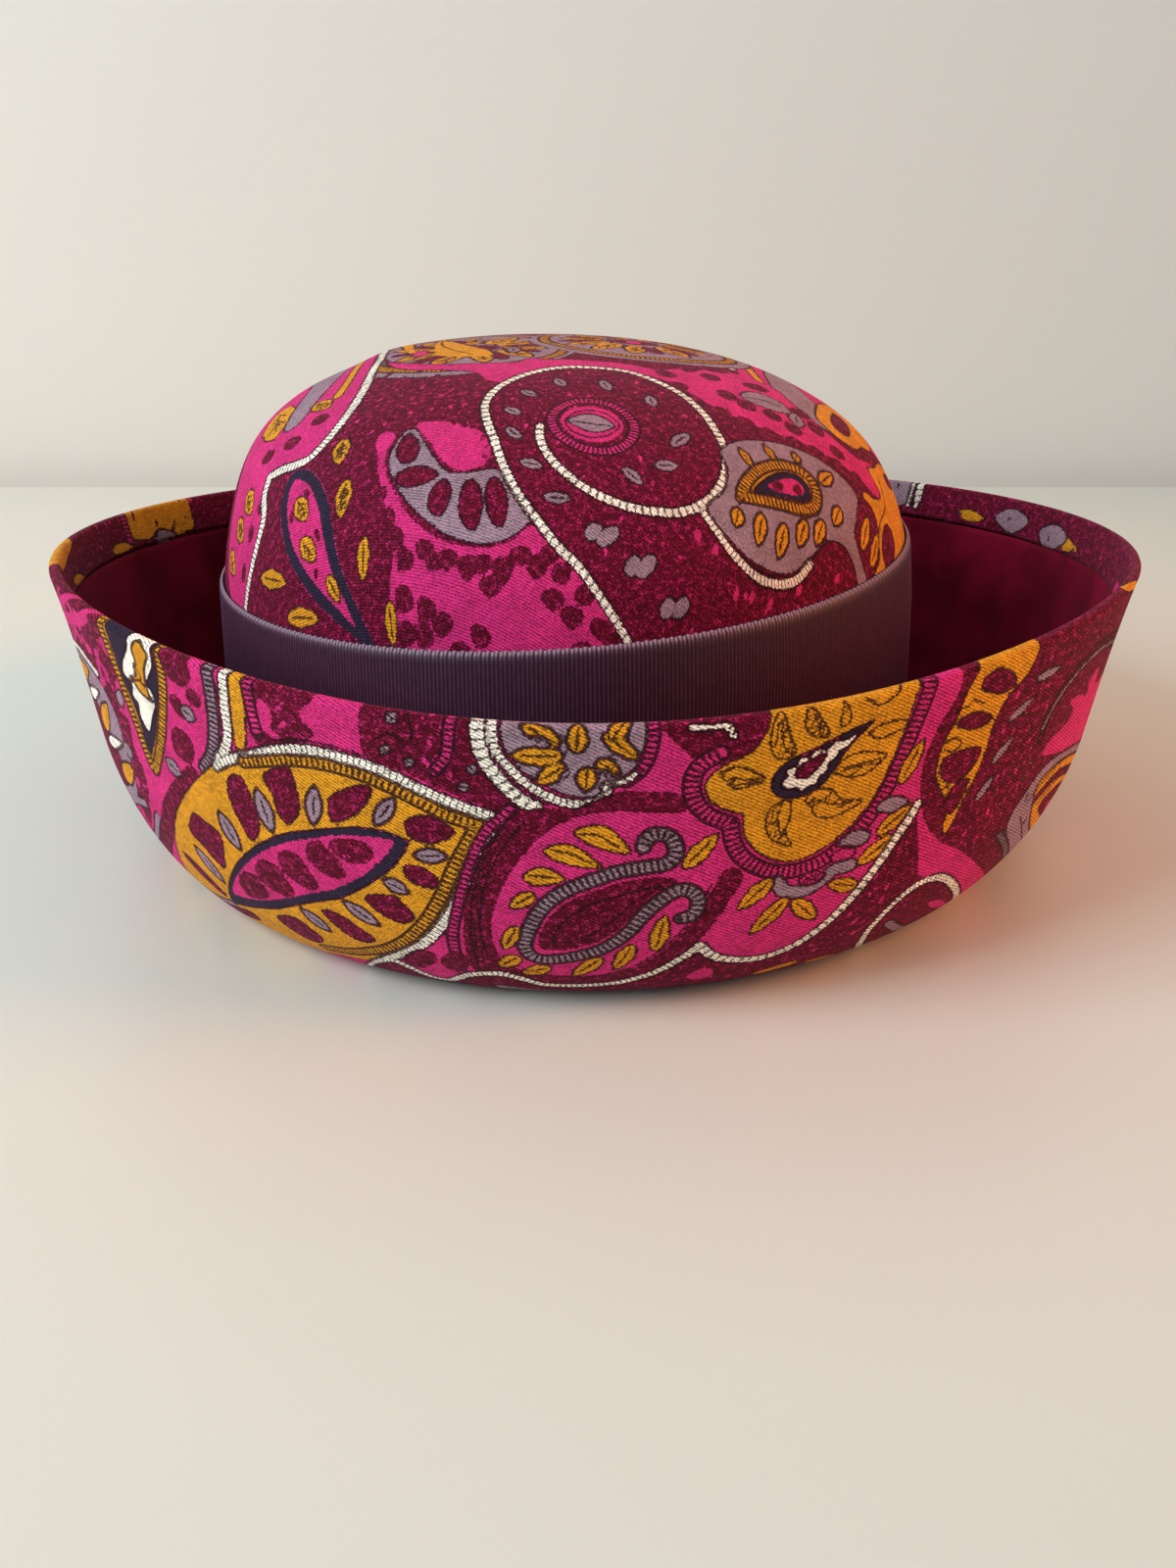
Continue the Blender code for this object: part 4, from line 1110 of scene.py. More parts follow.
# %% Right end of the brim
RIGHT_END = [
    ("area", "burgundy", 0, "66.5,96 66,84 65.5,78 63,73.5 60.8,66 61.3,58.5 64,51.5 68.5,46.2 76,41.8 "
     "85,35.6 100,25.2 112,17 124,11 134,5 142,-2 210,-2 206,20 196,40 203,60 196,80 200,96"),
    ("area", "pink", 0, "118,12 128,7 138,4 143,-2 126,-2 118,8"),
    ("area", "ochre", 0, "86,96 86,85 84.5,79.5 80,75.5 77.6,70 77,63.5 75.5,58 73.3,53 71,47.3 69.2,48.7 "
     "69.7,54 66.5,57.5 64.3,62 64.6,68 66.6,73 68,79 70,84 72,96"),
    ("area", "burgundy", 0, "71.4,80.6 75,82.4 79.5,80.4 81.4,77.6 78,76.4 74,77.4 71.6,78.6/67,72.4 "
     "71,73.8 75.5,72.4 76.6,71 73,69.9 69,70.6/65.3,64.4 69.5,65.8 75.6,65 73.6,60.4 70,58.8 66.4,60.2/"
     "69.2,57.4 73.5,58.8 73.8,56.4 71.4,51.6 69.8,52.4"),
    ("line", "", 0, "65,68.4 67.5,68.9 69.6,67.4 67.6,65.9 65.6,66.6/66.4,57.5 68.4,58.4 68.4,54.4 67,53.8/"
     "68.4,82.4 70.6,85.4/70.4,76.4 73,75.4/66.6,75 69.4,75.6"),
    ("dots", "pink", 3.6, "80,76 94,82 97,64 92,48 80,42 75,47 79,60"),
    ("dots", "ochre", 6.0, "86,82 96,82 98,60 92,46 84,50 84,62"),
    ("petal", "lilac", 2.2, "97,78 88,77.2 89.5,73.3 82,69.3 85.6,65.4 80,60.4 82,57.6 77.5,52.5"),
    ("band", "burgundy", 2.6, "97,62 97.5,67 101,71.5 106,75 113,77.5 122,77.6 134,75.4 146,71.5 158,66 "
     "168,59.5 177,52 183,44"),
    ("stripe", "lilac", 1.2, "96.5,64 99,68.6 103,72.4 109,75.2 118,76.6 130,75 145,70.6 160,63.4 170,57 "
     "178,50 183.4,42 184.6,35"),
    ("area", "pink", 0, "100,57 102.5,60 109,61.6 111.5,64 107,67.2 113,67.4 119,65.2 117.5,69.6 123,71 "
     "125,66.4 132,66 142,63.4 152,60.4 162,56.6 160.6,53.4 158,50.6 168,47.6 174.6,45.8 170,42 166,40 "
     "171,36.2 176,32.6 170,29.8 164,31 160,36 155,41 148,46 138,49.4 128,51.4 118,53.6 108,55"),
    ("area", "lilac", 0, "98,50 105,53.6 115,53.2 128,50.8 140,47.2 150,41.8 158,35 162,28 158,22 148,18 "
     "138,19 126,20.4 115,24.4 105,30.4 96,38.4 93,44"),
    ("area", "ochre", 0, "102,48.4 110,51.4 120,50.4 131,47.6 142,43.4 151,37.4 156,30 152,25.2 142,23.4 "
     "130,25.8 118,31 107,38.4"),
    ("stripe", "burgundy", 2.2, "104,45.4 113,47.6 124,45.6 136,41.2 146,35 150,29.8"),
    ("area", "burgundy", 0, "109,41.6 117,43.6 127,41.4 138,36.4 146,30.6 141,27.6 131,29.8 119,35"),
    ("area", "pink", 0, "117,38.5 124,38.6 132,35 139,31.3 133,31 125,33.4"),
    ("line", "", 0, "100,46 107,50 118,50.6 131,47.4 143,42.6 152,36.6/98.6,42.4 108,34 120,27.4 134,23 "
     "148,21.6/106,43 116,46 128,43.6 140,38"),
    ("band", "lilac", 2.0, "91,40.5 97,36 105,29.5 114,23.5 124,18.5 135,15.5 147,14.2"),
    ("dots", "pink", 5.0, "96,54 100,46 106,38 116,30 128,24 100,40"),
    ("stripe", "ochre", 2.4, "126,89 136,87 148,84.2 158,81.2 165,77.4"),
    ("stripe", "pink", 1.6, "160,77.2 168,74 176,69 185,62.6"),
    ("dots", "ochre", 6.0, "104,82 120,84 150,78 172,64 186,48 190,20 180,16 176,34 184,46 164,62 140,74 "
     "112,79"),
    ("band", "cream", 1.7, "121,3 119.5,5.6 113,9.3 105,13 95,19.3 88,25 82,30 76,34.2 71,35.7 66.8,35 "
     "63,31.6 61,27 60.8,22.5 63.5,16.5 69,10.6 77,6 88,3 100,1.6 112,1.4 121,3"),
    ("stripe", "lilac", 2.2, "66,24 74,18 84,13 94,9.5"),
    ("petal", "pink", 2.4, "92,18 76,27 104,9 88,14"),
    ("dots", "pink", 5.2, "202,42 218,43 224,58 214,62 206,53/186,84 196,86 200,78 192,76"),
    ("line", "", 0, "178,42 187,49 195,59 199,70 200,84/187,49 180,59/195,60 206,54/197,66 187,73/199,72 "
     "210,68"),
    ("bud", "ochre", 5.6, "182,49 174,60 189,53 200,46 193,60 182,69 197,65 209,59 199,74 189,81 200,77 "
     "212,74"),
    ("lens", "lilac", 4.4, "211,46 218,54 170,66 164,75 214,63 221,69 178,76 171,84 204,84 214,85"),
]

# %% Behind and inside the brim, with painted shade on the roll
BRIM_BACK_AND_ROLL_SHADE = [
    # The first outline, a burgundy band over the collar and the top of the roll, is painted shade in the
    # crevice at the crown's foot. The other two are the burgundy ground of the back's print.
    ("area", "burgundy", 0, "-390,-60 -390,-7 -200,-5 0,-7 200,-5 390,-7 390,-60/176,-6 178,40 172,70 "
     "176,110 376,110 376,-6/-376,-6 -376,110 -160,110 -168,84 -172,50 -166,-6"),
    ("sprigs", "pink", 7.0, "184,4 184,76 200,78 198,40 204,4/-196,6 -205,40 -198,76 -178,76 -182,40 "
     "-184,6/355,6 357,40 352,76 374,76 374,6/-374,6 -374,76 -368,76 -366,40 -368,6"),
]
HEM = [
    ("area", "ochre", 0, "198,97 204,94.5 210,94 214,96 206,98/244,93 250,90.5 255,91.5 250,94/-212,92 "
     "-206,90 -200,91 -202,93/-236,91 -230,89 -226,91 -230,93/-176,95 -170,92.5 -163,93 -166,95"),
    ("area", "lilac", 0, "206,95 213,91.5 220,94 214,99/226,92 234,89 240,92 232,96/-232,91 -226,88.5 "
     "-222,91 -227,94/300,92 306,85 316,82 322,86 312,92/-292,92 -286,82 -276,80 -272,88 -282,94"),
    ("dots", "pink", 6.0, "184,90 240,84 300,78 374,74 374,90 300,94 240,98 184,99/-184,86 -240,80 -300,76 "
     "-374,74 -374,88 -300,90 -240,94 -184,96"),
]
BRIM_FRONT = (LEFT_END, TEARDROP, BIG_BOTEH, MEDALLION, PINK_BOTEH, HEART, HEART_FIELD, RIGHT_END, HEM)
print("strokes on the front of the brim:", sum(len(strokes) for strokes in BRIM_FRONT))

# %% [markdown]
# ## The print of the crown
#
# The crown's chart is laid out from its top, like the spokes of a wheel: how far a point lies from the
# top along the cloth, in the direction of its bearing. The front is down. A long cream line of beads
# sweeps up from the ribbon and winds into a spiral round a beaded oval. A grey crescent, a navy pear drop
# and a beige bud lie round it on burgundy, with pink between.

# %% Crown ground and top
CROWN_GROUND = [
    ("dots", "pink", 4.8, "-44,-24 -46,-38 -56,-52 -40,-58 -18,-58 -17,-44 -24,-34"),
    ("dots", "pink", 7.0, "-15,-58 -10,-44 0,-36 14,-34 28,-40 38,-52 41,-68 36,-84 20,-89 6,-86 -8,-78"),
    ("dots", "pink", 6.5, "8,-92 24,-92 40,-90 56,-96 66,-90 74,-84 60,-104 40,-114 22,-117"),
    ("bud", "pink", 1.5, "36,-90 35.4,-93 40.5,-91.5 40.2,-94.6 47.8,-98 47.4,-101.6 52.4,-96.6 52,-99.8 "
     "58.2,-95 57.8,-98.6 66,-87 65.4,-90.4 77,-75 76.4,-78.4"),
    ("area", "pink", 0, "-43,-14 -45,-28 -46.5,-35 -49,-42 -52,-47 -56,-51 -60,-52.5 -64,-50.5 -68,-47.5 "
     "-72,-45 -72,-45 -75,-49 -76.5,-54 -80,-56.5 -86,-58.5 -92,-60 -102,-62 -118,-40 -116,-16 -96,4 "
     "-70,18 -50,22 -44,8"),
    ("area", "lilac", 0, "-56,24 -52,6 -54,-12 -58,-26 -62,-33 -66,-30 -61,-12 -62,4 -70,28"),
    ("area", "burgundy", 0, "-78,-8 -84,-22 -100,-36 -108,-52 -116,-44 -112,-20 -92,0"),
    ("stripe", "ochre", 2.4, "-52,24 -48,4 -49,-14 -52,-28"),
    ("bud", "burgundy", 4.2, "-70,-38.6 -73,-34 -62,-43 -66,-38 -54.6,-40 -58,-36"),
    ("bud", "burgundy", 3.4, "-82,-50 -85,-53 -76,-48.6 -78,-52 -90,-53.6 -94,-56"),
    ("leaf", "ochre", 5.2, "-54,-33.5 -57.5,-26 -97,-48 -97,-38 -88,-48 -88,-39 -81,-47 -81,-38"),
    ("leaf", "ochre", 10.0, "-69,-31 -68,-12"),
    ("area", "pink", 0, "-41,-8 -38.5,-16 -32,-22.5 -24,-26.5 -14,-29 -9,-29 -6,-25.5 0,-26.5 18,-26.5 "
     "26,-28 31,-24 34,-29 36,-36 38,-44 33,-41 28,-36.5 22,-34 14,-32.5 6,-32.3 0,-34 -6,-38 -10,-41.5 "
     "-13,-45 -16.5,-42.5 -18.5,-37.5 -24,-33 -29,-30 -34,-27 -39,-20"),
    ("area", "ochre", 0, "-28.7,-14.5 -24,-18.3 -20,-20 -15,-20.7 -15,-20.7 -15.8,-13 -19.5,-5 -23.5,3 "
     "-27,10 -30.5,18 -30,8 -29,-4"),
    ("line", "", 0, "-29,12 -27,0 -24,-9 -20,-17"),
    ("area", "ochre", 0, "-39,12 -36.2,14 -34.5,4 -33.2,-6 -34.5,-9.5 -36.8,0"),
    ("bud", "pink", 3.0, "-43,-4 -40,4 -33,-14 -31,-6"),
    ("lens", "lilac", 3.4, "-19,2 -16.5,14 -10.5,-18 -10,-8"),
    ("area", "lilac", 0, "20,-20.5 30,-18.5 40,-12.5 47,-3 49,8 46,20 38,30 27,36 14,36 3,31 -4,22 -7,10 "
     "-5,-2 0,-11 8,-18"),
    ("ring", "ochre", 3.0, "20,-16.5 30,-14 38,-8 43,0 44,10 41,20 33,28 22,32 10,30 1,24 -3,14 -2,2 4,-8 "
     "11,-14"),
    ("leaf", "ochre", 6.0, "20,-12 20,2 33,-8 25,3 39,3 27,8 38,17 26,12 30,26 22,15 17,28 18,15 5,24 "
     "14,13 1,11 13,9 3,-3 14,5 10,-10 16,3"),
    ("bud", "burgundy", 3.6, "26,-9 22,0 35,-3 27,5 39,10 28,10 34,22 25,14 12,26 16,15 3,17 13,11 1,4 "
     "12,7"),
    ("area", "burgundy", 0, "20,3 25,5 26,9 23,13 18,14 14,11 14,6"),
    ("bud", "pink", 3.6, "20,4.5 20,12"),
    ("area", "pink", 0, "30,-30 34,-24 38,-18 46,-14.5 54,-17 58,-23 64,-29 70,-32 76,-31.5 81,-26.5 "
     "88,-27 88.5,-33 84.5,-38 78,-40.5 70,-42.5 60,-45.5 52,-47.8 44,-47.6 38,-45.5 34,-39"),
    ("bud", "burgundy", 4.8, "31,-41 31,-35.5 29.5,-33 27,-28 38,-28 38.5,-22 42.5,-39 42,-33"),
    ("bud", "burgundy", 4.6, "47,-41.5 47,-35.5 53,-41 53,-35.5 58.5,-43 58,-37.5 64.5,-36 63.5,-29.5 "
     "70,-40.5 70,-35.5"),
    ("bud", "burgundy", 4.2, "41,-49.5 41.5,-44.8 46.5,-50.5 47,-46 52,-51 53,-46.5 58.5,-49.5 59,-44.5 "
     "64.5,-47.5 64,-43 71,-45.5 70,-41.5 77.5,-44 76,-39.5"),
    ("bud", "burgundy", 5.0, "46,-24 52,-20 58,-30 62,-26 36,-18 42,-15"),
    ("area", "lilac", 0, "45.5,-33.5 47,-28.5 51,-26 55.5,-27.5 57.5,-31.5 54,-34.5 49,-35.5"),
    ("lens", "lilac", 4.0, "59.5,-38 58.5,-30"),
    ("line", "", 0, "47,-33 50,-31 55,-30"),
    ("area", "ochre", 0, "64,-22 66,-27 71,-29 76,-26.5 78,-21 82,-14 80,-2 72,2 66,-8"),
    ("area", "burgundy", 0, "68.5,-20 71,-24 74,-20.5 74,-10 70.5,-8"),
    ("area", "ochre", 0, "82.5,-25 80,-31 85.5,-35 83,-41 79,-44 80,-52 84,-58 90,-66 100,-62 112,-44 "
     "112,-20 96,-6 86,-14"),
    ("bud", "burgundy", 8.0, "93.5,-54 92.5,-40"),
    ("line", "", 0, "84,-28 88,-36 87,-46 88,-56/98,-20 101,-32 100,-46 97,-58"),
    ("bud", "burgundy", 4.0, "102,-52 104,-40 88,-22 92,-12"),
]

# %% Spiral, crescent, drop and bud
CROWN_FIGURES = [
    ("area", "pink", 0, "-43,-68 -40,-77 -37,-85 -33,-90.5 -27,-95.5 -19,-98.5 -12,-98.4 -6,-95.5 -1,-98 "
     "4,-103 10,-109.5 15,-115 20,-123 10,-132 -30,-132 -44,-120 -47,-108 -45,-98 -42,-90"),
    ("petal", "burgundy", 5.8, "-46,-76 -42,-79 -45,-84 -40,-84 -44,-90 -38.6,-88.6 -42,-96 -37.4,-93.4 "
     "-35.6,-96.4 -32.4,-93 -34,-99 -30.6,-96.6 -29,-101 -27.4,-96.6 -24,-104.6 -22.6,-99 -20,-104 "
     "-19,-99.6 -14,-107 -14.6,-101 -9.6,-104 -9.4,-99.4 -6,-107 -5,-101.6 -1,-104 -2.6,-99.6 2,-108 "
     "0,-103.6"),
    ("petal", "burgundy", 6.6, "-45,-104 -39.6,-101 -38.6,-108.6 -34.4,-105 -41,-113 -36.4,-110 -34,-113.6 "
     "-31.4,-108.6 -46,-112 -42,-107 -30,-120 -28,-115.6 -24,-118 -21,-114 -18.6,-109 -17.4,-104.6 "
     "-2,-113.4 -1.4,-108.6 3,-117 3.6,-112 8,-112 6.4,-107.6 11,-119 11.4,-114 15.6,-121 14.6,-116.6 "
     "6,-123 5.4,-119"),
    ("area", "lilac", 0, "-35.4,-60.6 -38.2,-64 -40.2,-69.6 -39.2,-76 -36.2,-83 -32,-89 -26,-94.6 "
     "-18,-97.8 -11,-97.2 -5.4,-94 -5.4,-94 -9,-88.6 -12,-83 -14.4,-80.6 -20,-80.2 -25.6,-78.6 -28.6,-74 "
     "-31,-68 -33,-61.6"),
    ("area", "pink", 0, "-33,-59.6 -28,-60.6 -21.4,-64.4 -16.4,-69.6 -15.4,-76 -18,-79.2 -23.6,-78.6 "
     "-27.6,-73.6 -30,-67.6"),
    ("dots", "burgundy", 2.6, "-19,-63.6 -15.6,-68 -14.8,-78 -17.4,-78.6 -18.6,-70.6 -21.6,-66.4/-33,-60 "
     "-27,-60.4 -21,-64 -22.6,-66 -30,-63.4"),
    ("area", "burgundy", 0, "-37.6,-64.6 -35,-62 -32.8,-66 -32.6,-70 -34.4,-72 -37,-71.4 -38.2,-68/"
     "-38.8,-74 -35,-73.4 -31,-75 -28.2,-78.4 -31.4,-79.6 -35.6,-79 -38.2,-77/-31.6,-84.6 -30,-81.4 "
     "-27,-80 -25.4,-82.6 -26,-86 -28.4,-88.8 -31,-87.4/-23.4,-85.6 -22,-82.4 -19.6,-82.4 -18,-86 "
     "-18.4,-91 -20.4,-94.4 -22.8,-93 -24,-89.4/-16.8,-84.6 -15,-82.6 -13,-84.4 -11.6,-88.6 -12.2,-92.6 "
     "-13.6,-95 -16,-93.6 -17.2,-89.4"),
    ("area", "pink", 0, "-41,-58 -43,-62 -41.4,-72 -38,-81 -40.9,-73 -40.6,-66 -38,-61.4"),
    ("beads", "cream", 1.9, "20,-119 15,-114 10,-109 5,-104 0,-100 -5,-94 -9,-88 -12,-81 -14,-73 -16,-64 "
     "-16.5,-57 -14.5,-50.5 -11,-45.2 -6,-40 -1,-36.5 4,-34.3 10,-33.2 17,-33.3 22,-35.3 27,-39 32,-44 "
     "36,-50 39.3,-57 41.4,-63 42,-68 41.4,-74 39,-80 35,-84.8 30,-88 24,-89.5 18,-89.8 12,-88.6 7,-86.3 "
     "3,-83.2 -0.3,-79.5 -2.4,-75.4 -3.2,-71.3 -3,-67.8"),
    ("ring", "pink", 2.6, "10,-56.2 14.5,-57.2 18,-60.2 20,-64.5 19.6,-69 17.3,-73 13.4,-75.4 8.6,-75.6 "
     "4.2,-73.6 1,-70 -0.2,-65.5 1.4,-61 5.3,-57.3"),
    ("area", "pink", 0, "10,-59 14,-60.2 17,-63.8 17,-68 14,-71.8 9.6,-73 5,-71.2 2.4,-67.3 2.8,-63 "
     "6,-59.9"),
    ("loop", "", 0, "9.5,-60.8 13.6,-61.8 16.4,-65.8 13.6,-70 9.3,-71.4 5,-69.8 3.2,-66 5.8,-62.2"),
    ("area", "lilac", 0, "15.6,-66.4 15.6,-66.4 12.6,-63.4 9.5,-62.4 6.3,-63.4 3.8,-65.6 6.5,-68 9.3,-69.4 "
     "12.4,-68.8 15.6,-66.4"),
    ("line", "", 0, "5.5,-65.8 10,-66.4 14,-66.4"),
    ("lens", "lilac", 3.2, "3.4,-49 1,-43.6 14.6,-49.6 12.6,-42.6 25,-54.6 24,-48.4 28.6,-69.6 33.4,-62.4 "
     "24,-77.4 30.6,-75 21.6,-83.4 16.6,-79.6"),
    ("lens", "lilac", 2.8, "-8,-51 -3.6,-54.6 -12,-59.4 -7.4,-63 -11.6,-67.4 -7.6,-72.4 -8.6,-79 "
     "-2.4,-81.4 -3.4,-89 4.2,-89.6"),
    ("bud", "lilac", 3.4, "7,-98 11.4,-95.4 10,-99.2 15.6,-95.4 17.4,-104.6 21,-100.6 20.4,-104.6 25,-99.4 "
     "27.6,-111.4 30.6,-107 31,-110.4 34.6,-105.6"),
    ("area", "navy", 0, "-65,-52.6 -69,-56 -71.8,-63 -72.6,-72 -71.2,-80 -68.4,-88 -64.4,-95.4 -60,-102 "
     "-56.6,-108 -54.2,-108 -55.6,-100 -56.8,-93 -57.6,-85 -57,-77 -56.8,-69 -58.4,-60.6 -61.2,-55"),
    ("area", "pink", 0, "-65,-55.4 -68,-59.4 -69.6,-65 -70,-72 -68.6,-79 -66,-86.4 -62.4,-93.6 "
     "-58.6,-100.6 -59.4,-93 -60.6,-85 -60.2,-77 -59.8,-69 -60.8,-62 -62.6,-57.6"),
    ("leaf", "ochre", 4.6, "-63.8,-69.4 -65.2,-61.4 -64.4,-80.2 -67,-72.2"),
    ("leaf", "ochre", 3.4, "-60.8,-93.4 -62.4,-85.6"),
    ("bud", "burgundy", 1.6, "-61.6,-64 -62.6,-61 -68.4,-66 -67.4,-62.6 -61.6,-77 -62,-73.4 -66,-84 "
     "-65,-81.6"),
    ("band", "cream", 2.2, "-43,10 -41.6,0 -41.5,-9 -43.2,-18 -45,-28 -46.7,-35 -49,-41.6 -52,-46.8 "
     "-56,-50.7 -60,-52.3 -64,-50.5 -68,-47.5 -72,-45 -72,-45 -75,-49 -76.7,-54 -80,-56.5 -86,-58.5 "
     "-92,-60 -100,-62 -112,-66"),
    ("leaf", "ochre", 4.8, "-52.6,-61.6 -50.8,-53.2 -54.4,-76.6 -51,-67.4"),
    ("leaf", "ochre", 3.8, "-52.4,-93.6 -49,-84.4 -48.6,-110.4 -46.2,-100.6"),
    ("leaf", "ochre", 4.4, "-76,-76.5 -85,-65.5 -69,-92 -80.6,-82.4 -58,-116 -61,-109"),
    ("area", "lilac", 0, "40.4,-65 45,-58.4 51,-53.6 58,-49.8 66,-47.6 74,-47.4 78,-49.6 78.4,-56 79,-61.6 "
     "86,-65.4 96,-73 94,-80 84,-70.5 77,-67.5 71.4,-70.5 68,-76.5 65,-83 60,-88.3 52,-90.7 45,-89.3 "
     "37.5,-84.3 41.6,-77 42,-70"),
    ("line", "", 0, "37.3,-84.8 41,-88 45,-90.2 52,-91.7 59,-89.6 64.5,-84.8 68.2,-77 71,-71 76,-67.6"),
    ("band", "cream", 1.9, "37,-85.7 40.5,-88.6 45,-91.6 52,-93.4 59,-91.5 64,-87.2 67.2,-80.5"),
    ("area", "ochre", 0, "44.6,-78 46.4,-70 50,-63.4 55,-57.8 61.5,-55.4 66.4,-58.6 67,-65 63.4,-70.4 "
     "56,-74 49,-77"),
    ("ring", "ochre", 2.8, "46,-76 48.2,-69 52,-63 57,-58.6 62,-57.4 65,-60 65.4,-65 61.6,-69.4 55,-72.6 "
     "49.6,-75"),
    ("area", "navy", 0, "49,-73.4 51.8,-67.4 55.6,-62.2 60,-59.6 63.4,-61.4 63.4,-65.4 59,-68.8 "
     "53.6,-71.4"),
    ("area", "pink", 0, "52.4,-69.6 55.4,-65 59,-61.8 61.8,-62.6 61,-65.6 57,-68.2"),
    ("bud", "burgundy", 2.6, "54,-69.4 56,-65.6 59.6,-66 60.6,-62.8"),
    ("leaf", "ochre", 3.8, "69,-49.2 66,-56.6 71.6,-65.6 72.6,-58.4 67.4,-75.4 68.4,-67"),
    ("leaf", "ochre", 3.8, "62.5,-79.8 63.5,-71.2 57.4,-86.4 58,-76.4 51.4,-86.8 51.6,-77.8 45,-85.4 "
     "45.6,-80"),
    ("lens", "ochre", 2.6, "45,-60.8 48.6,-66 51,-55 54,-59 58.4,-51.4 60,-55"),
    ("area", "burgundy", 0, "78,-48.5 84,-46 90,-56 88,-65.5 80,-62"),
    ("leaf", "ochre", 3.6, "82,-50 82.5,-62 87,-50 87.5,-62"),
]
print("strokes on the crown:", len(CROWN_GROUND), "in the ground and", len(CROWN_FIGURES), "in the figures")

# %% [markdown]
# ## Drawing the two cloths
#
# The back of the hat is not seen in the picture, so the same figures are drawn there again, moved round
# or turned. The front is drawn last. The brim's cloth has its seam at the middle of the back, as the
# real one would.

# %% Prints on their pieces
BACK_MOVES_MM = (290.0, -270.0)
# The seam's two sides lie a whole turn apart, far more than any face is wide
SEAM_JUMP_MM = 50.0


def lay_chart(mesh, chart, closed):
    """Gives the mesh a UV map in millimetres. Where the columns close at the back, the chart runs on."""
    corner_of = np.empty(len(mesh.loops), dtype=np.int32)
    mesh.loops.foreach_get("vertex_index", corner_of)
    uv = chart[corner_of].copy()
    if closed:
        face = uv.reshape(-1, 4, 2)
        behind = face[:, :, 0] < face[:, :, 0].max(axis=1, keepdims=True) - SEAM_JUMP_MM
        face[:, :, 0] += np.where(behind, 2 * np.pi * PRINT_RADIUS_MM, 0)
    layer = mesh.uv_layers.new(name="cloth")
    layer.data.foreach_set("uv", uv.astype(np.float32).ravel())


crown_cloth = new_cloth(crown_chart)
paint(crown_cloth, "burgundy", np.full(len(crown_chart), DEPTH_LIMIT), np.arange(len(crown_chart)))
draw(crown_cloth, CROWN_GROUND, turn=180.0)
draw(crown_cloth, CROWN_FIGURES, turn=180.0)
draw(crown_cloth, CROWN_GROUND)
draw(crown_cloth, CROWN_FIGURES)
keep_print(crown.data, crown_cloth)
lay_chart(crown.data, crown_chart, False)

brim_cloth = new_cloth(brim_chart)
draw(brim_cloth, BRIM_BACK_AND_ROLL_SHADE)
for move in BACK_MOVES_MM:
    for strokes in (BIG_BOTEH, MEDALLION, PINK_BOTEH, HEART, HEART_LEAVES):
        draw(brim_cloth, strokes, (move, 0.0))
for strokes in BRIM_FRONT:
    draw(brim_cloth, strokes)
keep_print(brim.data, brim_cloth)
lay_chart(brim.data, brim_chart, True)
print("charted points:", len(crown_chart), "on the crown and", len(brim_chart), "on the brim")

# %% [markdown]
# ## Cloth that is drawn in ink
#
# The real cloth is a soft wool twill, dyed and printed. It gives the eye three things: matt threads that
# lie in fine slanting ribs, ink that sits unevenly on them and leaves them mottled, and a fuzz that
# lightens the edges. The ribs are about 0.65 mm apart, so they are drawn at that size on the cloth's own
# coordinates. The print's colours come from the depths stored above.

# %% Printed wool
PRINT_COLOURS = {
    "pink": "#CA2C72",
    "burgundy": "#5A0620",
    "ochre": "#D4911E",
    "lilac": "#967C88",
    "cream": "#F6EFDC",
    "navy": "#2A2034",
    "line": "#260A12",
}
# Noises on the cloth: (spots per mm, octaves, roughness)
CLOTH_NOISES = {
    "wobble": (1.3, 2.0, 0.65),
    "threads": (1.9, 3.0, 0.75),
    "patches": (0.14, 2.0, 0.5),
    "blotches": (0.62, 3.0, 0.7),
}
# Outlines: (ink, how far outside its edge, distance with no line, distance with a full line) in mm
OUTLINES = (("ochre", 0.0, 0.36, 0.16), ("lilac", 0.08, 0.4, 0.18), ("cream", 0.22, 0.4, 0.18))
# A wave texture has one wave in 2 pi / 20 of a unit at a scale of 1
TWILL_PITCH_MM, TWILL_SLANT = 0.6545, math.radians(28.0)
TWILL_SCALE = 2 * math.pi / 20 / TWILL_PITCH_MM
TWILL_DEPTH = 0.0002


